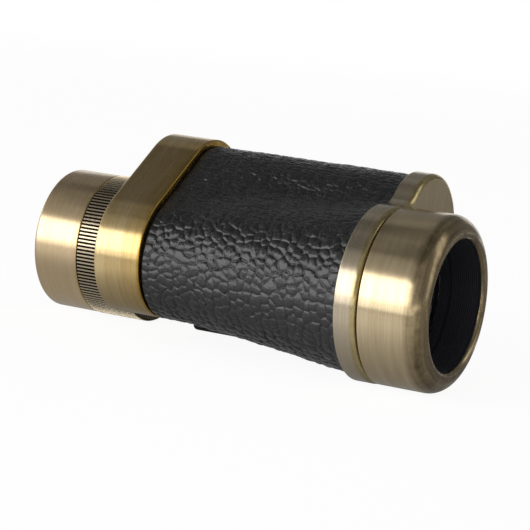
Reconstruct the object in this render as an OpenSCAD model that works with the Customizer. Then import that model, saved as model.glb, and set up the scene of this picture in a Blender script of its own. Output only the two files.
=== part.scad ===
// Prism monocular with brass end pieces and a leather-covered body.
// Lengths are in millimetres. The optical axes run along X, towards the objective.
// The body is drawn with the objective axis at y = 0 and z = 0, and then laid down
// on its front frame and its focusing ring.

/* [Body] */
// Length of the leather-covered body between the rear cap and the front frame
body_len = 52.8; // [50:0.2:58]
// Distance between the objective axis and the eyepiece axis, sideways
eye_offset = 24; // [23:0.2:26]
// Height of the eyepiece axis over the objective axis
eye_rise = 0.8; // [0:0.1:1.4]
// Centre of the prism hump, sideways from the objective axis
hump_y = 14.8; // [14:0.1:15.6]
// Centre of the prism hump, over the objective axis
hump_z = 14.5; // [13.6:0.1:15.2]
// Leather radius over the two rear lobes
lobe_r = 14.4; // [13.8:0.1:14.8]
// Leather radius over the prism hump
hump_r = 14; // [13.6:0.1:14.4]
// Leather radius of the objective barrel where it meets the front frame
barrel_r = 19.2; // [18.6:0.1:19.4]
// Length of the barrel behind its flare
straight_len = 9.6; // [6:0.2:14]
// How far the flat flank between barrel and hump sinks in towards the front
flank_dip = 3.6; // [3:0.2:4]
// Thickness of the leather
leather_t = 1; // [0.8:0.1:1.2]
// Wall of the cast housing
wall_t = 1.8; // [1.5:0.1:2.2]
// Open groove between the rear cap and the leather
groove_w = 0.9; // [0.5:0.1:1.4]

/* [Rear cap] */
// Length of the rear cap along the axis
cap_len = 12.2; // [11.4:0.2:14]
// Cap radius round the objective axis and the eyepiece axis
cap_lobe_r = 15.25; // [15.2:0.05:15.8]
// Cap radius round the prism hump
cap_hump_r = 15.5; // [15.2:0.1:16]
// Side wall of the rear cap
cap_wall = 1.8; // [1.6:0.1:2]
// End plate of the rear cap
cap_plate = 2; // [1.6:0.1:2.6]
// Length of the housing's spigot in the rear cap
cap_spigot = 3; // [2:0.2:5]

/* [Front frame] */
// Length of the front frame along the axis
frame_len = 5.4; // [5:0.1:6.4]
// Frame radius round the objective axis
frame_lobe_r = 20.3; // [20.2:0.1:21]
// Frame radius round the prism hump
frame_hump_r = 14.8; // [14.6:0.1:15.4]
// Frame radius round the eyepiece axis
frame_eye_r = 15.2; // [15:0.1:15.6]
// Side wall of the front frame
frame_wall = 1.5; // [1.3:0.1:1.7]
// Front plate of the front frame
frame_plate = 1.8; // [1.5:0.1:2.2]
// Rounding of the frame's front edge
frame_edge = 0.8; // [0.4:0.1:1.2]

/* [Objective] */
// Length of the objective ring in front of the frame
ring_len = 15.6; // [14.6:0.2:18]
// Outside radius of the objective ring
ring_r = 20.2; // [19.8:0.1:20.2]
// Rounding of the ring's lip
lip_r = 4.2; // [3.6:0.1:4.4]
// Clear radius of the hood bore
hood_r = 15; // [14.8:0.1:15.2]
// Length of the hood bore
hood_len = 8; // [7:0.5:8.5]
// Thickness of the seal between ring and frame
seal_t = 0.3; // [0.2:0.1:0.6]
// Radius of the objective lenses
lens_r = 15.3; // [15.2:0.05:15.5]
// Outside radius of the objective cell
cell_r = 16.5; // [16.4:0.1:16.8]
// Radius of the ring's threaded neck in the frame
neck_r = 17.6; // [17.5:0.1:17.8]

/* [Eyepiece] */
// How far the fixed boss behind the rear cap stands proud of the focusing ring's tube
boss_step = 1.4; // [1.2:0.1:1.8]
// Length of that boss
boss_len = 4.7; // [4.2:0.1:6]
// Radius of the focusing ring over its knurl
focus_r = 17.5; // [17.3:0.1:18]
// Thickness of the focusing ring, from its tube to its knurl's crest
ring_t = 4.5; // [4.2:0.1:4.8]
// Length of the focusing ring
focus_len = 13.3; // [13:0.1:15]
// Number of teeth in the knurl
knurl_count = 120; // [90:10:140]
// Depth of the knurl
knurl_depth = 0.35; // [0.2:0.05:0.5]
// Gap between the focusing ring and the sleeve at rest
sleeve_gap = 0.4; // [0.3:0.1:0.8]
// How much smaller the eyepiece sleeve's radius is than the focusing ring's
sleeve_step = 0.1; // [0:0.1:0.4]
// Length of the eyepiece sleeve
sleeve_len = 12.4; // [12:0.2:15]
// Outside radius of the sliding lens carriage
carriage_r = 11; // [10.8:0.1:11.2]
// Radius of the eyepiece lenses
eye_lens_r = 8.9; // [8.6:0.1:9]
// Travel of the lens carriage when focusing
focus_travel = 6; // [4:0.5:6.5]

/* [Prisms] */
// Width of each prism
prism_w = 14.6; // [14:0.1:14.8]
// Flat ground on the apex of each prism
apex_flat = 1; // [0.6:0.1:1.4]
// Thickness of the prism shelves
shelf_t = 2; // [1.6:0.1:2.4]
// Thickness of the spring clips over the prisms
clip_t = 0.5; // [0.4:0.1:0.6]
// Width of the spring clips
clip_w = 5; // [4:0.5:6]

/* [Tripod pad] */
// Near edge of the pad, sideways from the objective axis
pad_y = 13.8; // [13.4:0.1:14.6]
// Width of the pad
pad_w = 11.6; // [11:0.2:12]
// Length of the pad along the axis
pad_len = 22; // [16:1:26]
// How far the pad stands out under the leather
pad_rise = 2.6; // [2.2:0.1:2.7]
// Radius of the hole in the tripod bush, tapped for a quarter-inch screw
bush_hole_r = 2.6; // [2.5:0.05:2.7]
// Depth of that hole
bush_hole_len = 4.6; // [4.2:0.1:4.8]

/* [Fits] */
// Radial clearance of running fits
run_fit = 0.05; // [0.03:0.01:0.08]
// Clearance between pieces that are seated or screwed together
seat_fit = 0.1; // [0.06:0.02:0.14]

/* [Hidden] */
$fn = 96;
far = 200;
spare = 2;
flank_base = 2;
// Flat sides end this little inside the round corners that they run into
tuck = 0.004;
// Axes in the end view, as [y, z]
axis_o = [0, 0];
axis_e = [eye_offset, eye_rise];
axis_h = [hump_y, hump_z];
// Centre of the cap's near lobe, level with the eyepiece axis
cap_o = [0, eye_rise];
// Middle leg of the folded light path, at the right angle of the prism layout
eye_span = norm(axis_e);
beam_shift = eye_span / sqrt(2);
eye_angle = atan2(eye_rise, eye_offset);
rear_angle = eye_angle + 45;
front_angle = eye_angle - 45;
axis_m = beam_shift * polar(rear_angle);
rear_mid = axis_m / 2;
front_mid = (axis_m + axis_e) / 2;
prism_depth = beam_shift - apex_flat;
// Nut that clamps the eyepiece mount inside the cap
nut_t = 1.2;
// Stations along the axis, from the cap's front rim
cap_x = -cap_len;
cap_floor_x = cap_x + cap_plate;
frame_x = body_len;
frame_front_x = frame_x + frame_len;
frame_floor_x = frame_front_x - frame_plate;
ring_x = frame_front_x + seal_t;
lip_x = frame_front_x + ring_len;
shoulder_x = lip_x - hood_len;
boss_x = cap_x - boss_len;
focus_x = boss_x - focus_len;
sleeve_front_x = focus_x - sleeve_gap;
eye_x = sleeve_front_x - sleeve_len;
rear_shelf_x = cap_floor_x + nut_t + 3 * seat_fit + clip_t + prism_depth;
front_shelf_x = frame_floor_x - 4 * seat_fit - clip_t - prism_depth;
flare = (barrel_r - lobe_r) / (body_len - straight_len);
// Long screw posts at the rear, sunk a little into the housing wall
post_r = 1.8;
post_sink = 0.4;
screw_r = 0.9;
post_in = lobe_r - leather_t - wall_t - post_r + post_sink;
hump_post_in = hump_r - leather_t - wall_t - post_r + post_sink;
rear_posts = [
    axis_o + post_in * polar(-90),
    axis_o + post_in * polar(175),
    axis_h + hump_post_in * polar(85)
];
// Short screw posts behind the front shelf
front_posts = [
    axis_e + post_in * polar(-40),
    axis_h + hump_post_in * polar(85)
];
boss_depth = 5;
shelf_screw_len = shelf_t + boss_depth - 1;
cap_screw_len = 7;
flush = 0.05;
head_r = 1.3;
head_t = 0.8;
clip_gap = 0.2;
clip_foot = 2;
clip_screw_r = 0.6;
clip_head_r = 0.9;
clip_head_t = 0.6;
// Sideways place of the clip's inner face and of its screws
clip_reach = prism_w / 2 + clip_gap;
clip_screw_v = clip_reach + clip_t + clip_foot / 2;
clip_screw_depth = shelf_t - 0.3;
// Clear openings in the shelves
beam_r = prism_w / 2 - 0.9;
barrel_beam_r = 8.2;
// Pad and bush under the body
pad_x = groove_w;
pad_round = 1.4;
pad_sink = 0.6;
pad_drop = lobe_r - eye_rise + pad_rise;
pad_mid = [pad_x + pad_len / 2, pad_y + pad_w / 2];
bush_r = 4.6;
bush_end = 0.6;
// Rest attitude: the frame and the focusing ring touch the table together
rest_tilt = asin((frame_lobe_r - focus_r) / eye_span) + eye_angle;
rest_eye_y = eye_span * cos(rest_tilt - eye_angle);
mid_x = (eye_x + lip_x) / 2;
mid_y = (rest_eye_y + focus_r - frame_lobe_r) / 2;
// Eyepiece radii and stations
tube_r = focus_r - ring_t;
boss_r = tube_r + boss_step;
sleeve_r = focus_r - sleeve_step;
spigot_r = carriage_r + 1;
// How far the carriage ends short of the cap plate, and inside the sleeve's rim
carriage_in = 2.6;
eye_relief = 3.5;
carriage_front_x = cap_floor_x - carriage_in;
carriage_rear_x = eye_x + eye_relief;
// Rear end of the fixed tube
tube_x = focus_x + 0.2;
// Drive pins and the space that they need inside the focusing ring
pin_r = 1;
free_gap = 0.3;
pin_in = 2.6;
pin_x = boss_x - pin_in;
pin_out_r = boss_r - seat_fit;
relief_r = pin_out_r + free_gap;
relief_x0 = pin_x - pin_r - focus_travel - free_gap;
relief_x1 = pin_x + pin_r + free_gap;
// Recess for the retainer in the rear of the focusing ring
retainer_w = 2.5;
recess_r = tube_r + retainer_w;
recess_len = 2.2;
lens_fit = 0.03;
carriage_bore_r = eye_lens_r + lens_fit;
carriage_lip = 0.8;
pin_in_r = carriage_bore_r + seat_fit;
// Sleeve and eyecup
bevel = 0.4;
sleeve_wall = 1.8;
sleeve_web = 3;
sleeve_bore_r = sleeve_r - sleeve_wall;
sleeve_floor_x = sleeve_front_x - sleeve_web;
hub_r = carriage_r + seat_fit / 2;
cup_rim = 1.6;
cup_lip = 0.6;
field_x = carriage_front_x - carriage_lip;
field_t = 4;
stop_t = 1;
stop_r = 6.6;
spacer_wall = 0.9;
flint_t = 2;
crown_t = 3.4;
retainer_t = 1.6;
retainer_gap = 0.3;
ring_wall = 1.1;
eye_crown_x = carriage_rear_x + retainer_t + retainer_gap;
eye_flint_x = eye_crown_x + crown_t + seat_fit + flint_t;
// Objective stations
neck_len = 1.8;
seal_step = 1.1;
cell_x = ring_x - neck_len;
cell_front_x = shoulder_x - 2 * seat_fit;
cell_lip = 1.4;
seat_x = cell_x + cell_lip;
seat_r = lens_r - ring_wall;
flint_obj_t = 2.4;
crown_obj_t = 3.6;
// Radii of the polished faces
obj_joint_bend = 70;
obj_front_bend = 100;
eye_joint_bend = 26;
eye_rear_bend = 30;
field_bend = 24;

// Lays the body down on its front frame and focusing ring, over the origin
module place() {
    translate([-mid_x, -mid_y, frame_lobe_r]) rotate([-rest_tilt, 0, 0]) children();
}

// Moves a piece from the objective axis to another axis of the end view
module at(point) {
    translate([0, point[0], point[1]]) children();
}

// Solid of revolution about the X axis from [radius, x] points
module turned(points) {
    rotate([0, 90, 0]) rotate_extrude() polygon(points);
}

module rod(r, x0, x1) {
    translate([x0, 0, 0]) rotate([0, 90, 0]) cylinder(r = r, h = x1 - x0);
}

module tube(outer, inner, x0, x1) {
    turned([[inner, x0], [outer, x0], [outer, x1], [inner, x1]]);
}

// Extrudes an end-view outline along X
module along(x0, x1) {
    translate([x0, 0, 0]) rotate([90, 0, 90]) linear_extrude(x1 - x0) children();
}

function polar(a) = [cos(a), sin(a)];

// Direction of the outer normal of the tangent from circle a to circle b, counterclockwise
function tangent_normal(a, ra, b, rb) =
    atan2(b[1] - a[1], b[0] - a[0]) - acos((ra - rb) / norm(b - a));

// Outline round a closed ring of circles, with straight tangents between them
module lobes(centres, radii) {
    last = len(centres);
    for (i = [0:last - 1]) translate(centres[i]) circle(r = radii[i]);
    polygon([
        for (i = [0:last - 1])
            let (j = (i + 1) % last)
            let (n = tangent_normal(centres[i], radii[i], centres[j], radii[j]))
            each [centres[i] + (radii[i] - tuck) * polar(n), centres[j] + (radii[j] - tuck) * polar(n)]
    ]);
}

module cap_outline(inset) {
    lobes([cap_o, axis_e, axis_h], [cap_lobe_r - inset, cap_lobe_r - inset, cap_hump_r - inset]);
}

module frame_outline(inset) {
    circle(r = frame_lobe_r - inset);
    lobes([axis_e, axis_h], [frame_eye_r - inset, frame_hump_r - inset]);
    low = eye_rise - frame_eye_r + inset + tuck;
    polygon([axis_o, [0, low], [eye_offset, low], axis_e]);
}

// Flat flank between barrel and hump, sinking in towards the front, cut square at both ends
module flank(inset, x0, x1) {
    ro = lobe_r - inset;
    rh = hump_r - inset;
    run = sqrt(pow(norm(axis_h - axis_o), 2) - pow(ro - rh, 2));
    slope = flank_dip / body_len;
    at(axis_h) rotate([tangent_normal(axis_h, rh, axis_o, ro), 0, 0]) linear_extrude(run)
        polygon([
            [x0, -flank_base], [x1, -flank_base],
            [x1, rh - tuck - slope * x1], [x0, rh - tuck - slope * x0]
        ]);
}

// Outer shape of the body, drawn in by inset, running past both ends by spare
module body_form(inset) {
    x0 = -spare;
    x1 = body_len + spare;
    turned([
        [0, x0], [lobe_r - inset, x0], [lobe_r - inset, straight_len],
        [lobe_r - inset + flare * (x1 - straight_len), x1], [0, x1]
    ]);
    along(x0, x1) lobes([axis_e, axis_h], [lobe_r - inset, hump_r - inset]);
    low = (lobe_r - inset - tuck) * polar(eye_angle - 90);
    along(x0, x1) polygon([axis_o, axis_o + low, axis_e + low, axis_e, axis_h]);
    flank(inset, x0, x1);
}

// The same shape cut square at x0 and x1
module body_slab(inset, x0, x1) {
    intersection() {
        body_form(inset);
        translate([x0, -far / 2, -far / 2]) cube([x1 - x0, far, far]);
    }
}

module prism_housing() {
    color("dimgray") place() difference() {
        union() {
            difference() {
                body_slab(leather_t, 0, body_len);
                body_form(leather_t + wall_t);
            }
            difference() {
                along(-cap_spigot, 0) cap_outline(cap_wall + seat_fit);
                along(-cap_spigot - 1, 1) cap_outline(cap_wall + seat_fit + wall_t);
            }
            difference() {
                along(body_len, frame_floor_x - seat_fit) frame_outline(frame_wall + seat_fit);
                along(body_len - 1, frame_x + frame_len) frame_outline(frame_wall + seat_fit + wall_t);
            }
            for (p = rear_posts) at(p) rod(post_r, cap_floor_x + seat_fit, rear_shelf_x - seat_fit);
            for (p = front_posts) at(p)
                rod(post_r, front_shelf_x - shelf_t - boss_depth, front_shelf_x - shelf_t - seat_fit);
        }
        for (p = rear_posts) at(p)
            rod(screw_r, cap_floor_x - 1, rear_shelf_x + 1);
        for (p = front_posts) at(p)
            rod(screw_r, front_shelf_x - shelf_t - boss_depth - 1, front_shelf_x);
        pad_block(seat_fit);
        translate([pad_mid[0], pad_mid[1], -far / 2]) cylinder(r = bush_r + seat_fit / 2, h = far / 2);
    }
}

module leather_cover() {
    color("#202124") place() difference() {
        body_slab(0, groove_w, body_len - seat_fit);
        body_form(leather_t);
        pad_block(seat_fit);
    }
}

module rear_cap() {
    color("#a98a4e") place() difference() {
        along(cap_x, 0) cap_outline(0);
        along(cap_floor_x, 1) cap_outline(cap_wall);
        at(axis_e) rod(spigot_r + seat_fit / 2, cap_x - 1, cap_floor_x + 1);
        for (p = rear_posts) at(p) {
            rod(screw_r + seat_fit, cap_x - 1, cap_floor_x + 1);
            rod(head_r + seat_fit, cap_x - 1, cap_x + head_t + seat_fit);
        }
    }
}

// A countersunk-flush screw along X with its head at x
module flush_screw(x, length, way) {
    x0 = min(x, x + way * head_t);
    x1 = min(x, x + way * length);
    rod(head_r, x0, x0 + head_t);
    rod(screw_r, x1, x1 + length);
}

module rear_cap_screws() {
    color("#b99a5a") place() for (p = rear_posts) at(p) flush_screw(cap_x + flush, cap_screw_len, 1);
}

module front_frame() {
    color("#b59b66") place() difference() {
        union() {
            along(frame_x, frame_front_x - frame_edge) frame_outline(0);
            along(frame_front_x - frame_edge, frame_front_x) frame_outline(frame_edge / 2);
        }
        along(frame_x - 1, frame_floor_x) frame_outline(frame_wall);
        rod(neck_r + seat_fit, frame_x, frame_front_x + 1);
    }
}

module objective_ring() {
    steps = 12;
    crest_r = ring_r - lip_r;
    inner_round = crest_r - hood_r;
    color("#c2ab7c") place() turned(concat(
        [
            [cell_r + seat_fit, cell_x], [neck_r, cell_x], [neck_r, ring_x], [ring_r, ring_x]
        ],
        [for (i = [0:steps]) [crest_r, lip_x - lip_r] + lip_r * polar(90 * i / steps)],
        [for (i = [1:steps]) [crest_r, lip_x - inner_round] + inner_round * polar(90 + 90 * i / steps)],
        [[hood_r, shoulder_x], [cell_r + seat_fit, shoulder_x]]
    ));
}

module objective_seal() {
    color("#151515") place()
        tube(ring_r - seal_step, neck_r + seat_fit, frame_front_x, ring_x);
}

module objective_cell() {
    color("#1b1b1c") place() difference() {
        tube(cell_r, seat_r, cell_x, cell_front_x);
        rod(lens_r + lens_fit, seat_x, cell_front_x + 1);
    }
}

// Lens between two spherical faces with their crowns at x0 and x1.
// A positive bend bulges outwards, a negative one dishes inwards and 0 is flat.
module lens(r, x0, x1, bend0, bend1) {
    steps = 10;
    turned(concat(
        [for (i = [0:steps]) [r * i / steps, x0 + lens_sag(r * i / steps, bend0)]],
        [for (i = [0:steps]) [r - r * i / steps, x1 - lens_sag(r - r * i / steps, bend1)]]
    ));
}

// Depth of a spherical face at the rim of a lens of radius r
function lens_sag(r, bend) =
    bend == 0 ? 0 : sign(bend) * (abs(bend) - sqrt(bend * bend - r * r));

module objective_flint_lens() {
    color([0.75, 0.85, 0.8, 0.5]) place()
        lens(lens_r, seat_x, seat_x + flint_obj_t, 0, -obj_joint_bend);
}

module objective_crown_lens() {
    x0 = seat_x + flint_obj_t + seat_fit;
    color([0.7, 0.85, 0.9, 0.5]) place()
        lens(lens_r, x0, x0 + crown_obj_t, obj_joint_bend, obj_front_bend);
}

module objective_retainer() {
    x0 = seat_x + flint_obj_t + crown_obj_t + 2 * seat_fit - lens_sag(seat_r, obj_front_bend);
    color("#29292b") place() tube(lens_r, seat_r, x0, x0 + retainer_t);
}

// Moves a piece drawn along u = y and v = z to a prism's place and direction
module on_prism(centre, angle, x, way) {
    translate([x, centre[0], centre[1]]) rotate([angle, 0, 0]) facing(way) children();
}

module facing(way) {
    if (way > 0) children();
    else mirror([1, 0, 0]) children();
}

// Right-angle prism on its long face, with round ends, standing up along X
module porro_prism() {
    intersection() {
        translate([0, 0, -prism_w / 2]) linear_extrude(prism_w)
            polygon([[0, -beam_shift], [prism_depth, -apex_flat], [prism_depth, apex_flat], [0, beam_shift]]);
        union() {
            for (side = [-1, 1])
                translate([0, side * (beam_shift - prism_w / 2), 0]) rod(prism_w / 2, -1, far / 2);
            translate([-1, prism_w / 2 - beam_shift, -prism_w / 2])
                cube([far / 2, 2 * beam_shift - prism_w, prism_w]);
        }
    }
}

// Spring strap over a prism's apex, with a foot on each side
module prism_clip() {
    difference() {
        translate([0, -clip_w / 2, 0]) rotate([-90, 0, 0]) linear_extrude(clip_w)
            polygon(concat(clip_side(1), clip_side(-1)));
        for (side = [-1, 1])
            translate([0, 0, side * clip_screw_v]) rod(clip_screw_r + seat_fit, -1, 2 * clip_t);
    }
}

// Half of the strap's outline as [x, v] points, mirrored by side
function clip_side(side) =
    let (top = prism_depth + seat_fit)
    let (half_points = [
        [top + clip_t, clip_reach + clip_t],
        [clip_t, clip_reach + clip_t],
        [clip_t, clip_reach + clip_t + clip_foot],
        [0, clip_reach + clip_t + clip_foot],
        [0, clip_reach],
        [top, clip_reach]
    ])
    [for (i = [0:5]) let (p = half_points[side > 0 ? i : 5 - i]) [p[0], side * p[1]]];

module clip_screw_pair() {
    for (side = [-1, 1]) translate([0, 0, side * clip_screw_v]) {
        rod(clip_screw_r, -clip_screw_depth, clip_t);
        rod(clip_head_r, clip_t, clip_t + clip_head_t);
    }
}

module clip_holes() {
    for (side = [-1, 1])
        translate([0, 0, side * clip_screw_v]) rod(clip_screw_r, -clip_screw_depth, 1);
}

// Plate across the housing that a prism stands on
module shelf(x0, x1, barrel_hole_r) {
    difference() {
        body_slab(leather_t + wall_t + seat_fit, x0, x1);
        for (p = [axis_m, axis_e]) at(p) rod(beam_r, x0 - 1, x1 + 1);
        rod(barrel_hole_r, x0 - 1, x1 + 1);
        children();
    }
}

// Clearance holes and sunk seats for the screws that hold a shelf
module shelf_holes(places, x0, x1) {
    for (p = places) at(p) {
        rod(screw_r + seat_fit, x0 - 1, x1 + 1);
        rod(head_r + seat_fit, x1 - head_t - seat_fit, x1 + 1);
    }
}

module rear_prism_shelf() {
    x1 = rear_shelf_x + shelf_t;
    color("#3a3a3d") place() shelf(rear_shelf_x, x1, beam_r) {
        shelf_holes(rear_posts, rear_shelf_x, x1);
        on_prism(rear_mid, rear_angle, rear_shelf_x, -1) clip_holes();
    }
}

module front_prism_shelf() {
    x0 = front_shelf_x - shelf_t;
    color("#3a3a3d") place() shelf(x0, front_shelf_x, barrel_beam_r) {
        shelf_holes(front_posts, x0, front_shelf_x);
        on_prism(front_mid, front_angle, front_shelf_x, 1) clip_holes();
    }
}

module rear_prism() {
    color([0.75, 0.85, 0.9, 0.5]) place()
        on_prism(rear_mid, rear_angle, rear_shelf_x - seat_fit / 2, -1) porro_prism();
}

module front_prism() {
    color([0.75, 0.85, 0.9, 0.5]) place()
        on_prism(front_mid, front_angle, front_shelf_x + seat_fit / 2, 1) porro_prism();
}

module rear_prism_clip() {
    color("#8d8f92") place() on_prism(rear_mid, rear_angle, rear_shelf_x, -1) prism_clip();
}

module front_prism_clip() {
    color("#8d8f92") place() on_prism(front_mid, front_angle, front_shelf_x, 1) prism_clip();
}

module clip_screws() {
    color("#77787a") place() {
        on_prism(rear_mid, rear_angle, rear_shelf_x, -1) clip_screw_pair();
        on_prism(front_mid, front_angle, front_shelf_x, 1) clip_screw_pair();
    }
}

module shelf_screws() {
    color("#77787a") place() {
        for (p = rear_posts) at(p) flush_screw(rear_shelf_x + shelf_t - flush, shelf_screw_len, -1);
        for (p = front_posts) at(p) flush_screw(front_shelf_x - flush, shelf_screw_len, -1);
    }
}

// Pad under the housing, grown by gap, with its top at the housing wall
module pad_block(gap) {
    x0 = pad_x - gap;
    y0 = pad_y - gap;
    z0 = -pad_drop - gap;
    top = eye_rise - lobe_r + leather_t + pad_sink + gap;
    len_x = pad_len + 2 * gap;
    len_y = pad_w + 2 * gap;
    translate([x0, y0 + pad_round, z0]) cube([len_x, len_y - 2 * pad_round, top - z0]);
    translate([x0, y0, z0 + pad_round]) cube([len_x, len_y, top - z0 - pad_round]);
    for (y = [y0 + pad_round, y0 + len_y - pad_round])
        translate([x0, y, z0 + pad_round]) rotate([0, 90, 0]) cylinder(r = pad_round, h = len_x);
}

module tripod_pad() {
    color("#1c1c1e") place() difference() {
        pad_block(0);
        translate([pad_mid[0], pad_mid[1], -far / 2]) cylinder(r = bush_r + seat_fit / 2, h = far);
    }
}

module tripod_bush() {
    color("#c8aa62") place() translate([pad_mid[0], pad_mid[1], 0]) difference() {
        translate([0, 0, -pad_drop]) cylinder(r = bush_r, h = bush_hole_len + bush_end);
        translate([0, 0, -pad_drop - 1]) cylinder(r = bush_hole_r, h = bush_hole_len + 1);
    }
}

module eyepiece_mount() {
    bore = carriage_r + run_fit;
    slot = pin_r + run_fit;
    color("#b0955c") place() at(axis_e) difference() {
        turned([
            [bore, tube_x], [tube_r, tube_x], [tube_r, boss_x], [boss_r, boss_x],
            [boss_r, cap_x], [spigot_r, cap_x], [spigot_r, cap_floor_x + nut_t], [bore, cap_floor_x + nut_t]
        ]);
        translate([pin_x - slot - focus_travel, -tube_r - 1, -slot])
            cube([focus_travel + 2 * slot, 2 * (tube_r + 1), 2 * slot]);
    }
}

module eyepiece_nut() {
    color("#8f7a4b") place() at(axis_e)
        tube(cap_lobe_r - cap_wall - seat_fit, spigot_r, cap_floor_x, cap_floor_x + nut_t);
}

module focus_retainer() {
    color("#9c8450") place() at(axis_e)
        tube(recess_r - free_gap, tube_r, tube_x, focus_x + recess_len - seat_fit);
}

module focus_ring() {
    bore = tube_r + run_fit;
    front_x = boss_x - seat_fit;
    color("#c9bfa6") place() at(axis_e) difference() {
        turned([
            [recess_r, focus_x], [focus_r - bevel, focus_x], [focus_r, focus_x + bevel],
            [focus_r, front_x - bevel], [focus_r - bevel, front_x], [bore, front_x],
            [bore, relief_x1], [relief_r, relief_x1], [relief_r, relief_x0], [bore, relief_x0],
            [bore, focus_x + recess_len], [recess_r, focus_x + recess_len]
        ]);
        for (i = [0:knurl_count - 1]) rotate([360 * i / knurl_count, 0, 0])
            translate([focus_x - 1, -knurl_depth, focus_r - knurl_depth])
                cube([focus_len + 2, knurl_depth * 1.2, 2 * knurl_depth]);
    }
}

module eyepiece_sleeve() {
    color("#cbb48c") place() at(axis_e) turned([
        [sleeve_bore_r, eye_x + bevel], [sleeve_bore_r + bevel, eye_x], [sleeve_r - bevel, eye_x],
        [sleeve_r, eye_x + bevel], [sleeve_r, sleeve_front_x - bevel],
        [sleeve_r - bevel, sleeve_front_x], [hub_r, sleeve_front_x],
        [hub_r, sleeve_floor_x], [sleeve_bore_r, sleeve_floor_x]
    ]);
}

module eyecup_insert() {
    outer = sleeve_bore_r - seat_fit / 2;
    floor_x = carriage_rear_x - seat_fit;
    color("#161617") place() at(axis_e) turned([
        [hub_r, sleeve_floor_x - seat_fit], [outer, sleeve_floor_x - seat_fit],
        [outer, eye_x + bevel], [outer - bevel, eye_x + bevel / 2], [outer - cup_rim, eye_x + 2 * bevel],
        [carriage_bore_r, floor_x - cup_lip], [carriage_bore_r - cup_lip, floor_x], [hub_r, floor_x]
    ]);
}

module lens_carriage() {
    color("#5b5347") place() at(axis_e) difference() {
        tube(carriage_r, carriage_bore_r - carriage_lip, carriage_rear_x, carriage_front_x);
        rod(carriage_bore_r, carriage_rear_x - 1, field_x);
        pin_pair() cylinder(r = pin_r, h = carriage_r + 1);
    }
}

// Two pieces standing out to the left and right of the eyepiece axis
module pin_pair() {
    for (side = [-1, 1]) translate([pin_x, 0, 0]) rotate([-90 * side, 0, 0]) children();
}

module drive_pins() {
    color("#a7a9ab") place() at(axis_e) pin_pair()
        translate([0, 0, pin_in_r]) cylinder(r = pin_r, h = pin_out_r - pin_in_r);
}

module field_lens() {
    color([0.75, 0.85, 0.9, 0.5]) place() at(axis_e)
        lens(eye_lens_r, field_x - field_t, field_x - seat_fit / 2, 0, field_bend);
}

module field_stop() {
    color("#1d1d1f") place() at(axis_e)
        tube(eye_lens_r, stop_r, field_x - field_t - stop_t, field_x - field_t);
}

module lens_spacer() {
    color("#2a2a2c") place() at(axis_e)
        tube(eye_lens_r, eye_lens_r - spacer_wall, eye_flint_x, field_x - field_t - stop_t);
}

module eye_flint_lens() {
    color([0.75, 0.85, 0.8, 0.5]) place() at(axis_e)
        lens(eye_lens_r, eye_flint_x - flint_t, eye_flint_x, -eye_joint_bend, 0);
}

module eye_crown_lens() {
    color([0.7, 0.85, 0.9, 0.5]) place() at(axis_e)
        lens(eye_lens_r, eye_crown_x, eye_crown_x + crown_t, eye_rear_bend, eye_joint_bend);
}

module eyepiece_retainer() {
    inner = eye_lens_r - ring_wall;
    x1 = eye_crown_x + lens_sag(inner, eye_rear_bend) - seat_fit;
    color("#2a2a2c") place() at(axis_e) tube(eye_lens_r, inner, carriage_rear_x + seat_fit, x1);
}

prism_housing();
leather_cover();
rear_cap();
rear_cap_screws();
front_frame();
objective_ring();
objective_seal();
objective_cell();
objective_crown_lens();
objective_flint_lens();
objective_retainer();
rear_prism_shelf();
rear_prism();
rear_prism_clip();
front_prism_shelf();
front_prism();
front_prism_clip();
clip_screws();
shelf_screws();
tripod_pad();
tripod_bush();
eyepiece_mount();
eyepiece_nut();
focus_retainer();
focus_ring();
eyepiece_sleeve();
lens_carriage();
drive_pins();
field_lens();
field_stop();
lens_spacer();
eye_flint_lens();
eye_crown_lens();
eyepiece_retainer();
eyecup_insert();
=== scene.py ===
"""Looks of a prism monocular with brass end pieces and a leather-covered body.

The CAD part is the fixed frame. Its hidden pieces are only dressed, and its
visible pieces are replaced by finer meshes that stand in the same places.
Meshes are drawn in millimetres in the body's own axes: x runs along the optical
axes towards the objective from the rear cap's front rim, y points away from the
camera and z up, with the objective axis at y = 0 and z = 0.
"""

import logging
import math
from dataclasses import dataclass, field
from enum import Enum

import bpy
import numpy as np
from mathutils import Matrix, Vector
from mathutils.geometry import delaunay_2d_cdt

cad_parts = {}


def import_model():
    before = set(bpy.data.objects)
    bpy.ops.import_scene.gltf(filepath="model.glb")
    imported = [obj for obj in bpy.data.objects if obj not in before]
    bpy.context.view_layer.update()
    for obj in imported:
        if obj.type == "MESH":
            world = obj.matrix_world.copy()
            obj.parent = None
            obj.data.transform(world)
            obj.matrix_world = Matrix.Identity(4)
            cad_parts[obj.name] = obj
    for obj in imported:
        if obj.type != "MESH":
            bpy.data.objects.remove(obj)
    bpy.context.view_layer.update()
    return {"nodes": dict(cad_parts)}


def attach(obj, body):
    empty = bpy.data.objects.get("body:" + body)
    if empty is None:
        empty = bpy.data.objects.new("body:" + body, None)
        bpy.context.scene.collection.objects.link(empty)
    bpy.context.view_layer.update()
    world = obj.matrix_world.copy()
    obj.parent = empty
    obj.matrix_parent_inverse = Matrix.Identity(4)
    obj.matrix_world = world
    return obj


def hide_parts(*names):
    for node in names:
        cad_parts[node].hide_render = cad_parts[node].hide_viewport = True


log = logging.getLogger("monocular")

MM = 0.001
UV_NAME = "millimetres"
# Mesh value that the materials darken as painted shade: leather creases, and the knurled ring's grooves,
# rims and bore.
CREASE_NAME = "crease"
POLISH_NAME = "polish"

QUARTER_TURN = math.pi / 2

Points = np.ndarray


class Facing(Enum):
    """Which way a flat face or a screw head looks along the body."""

    REAR = -1
    FRONT = 1


# Placing


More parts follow.
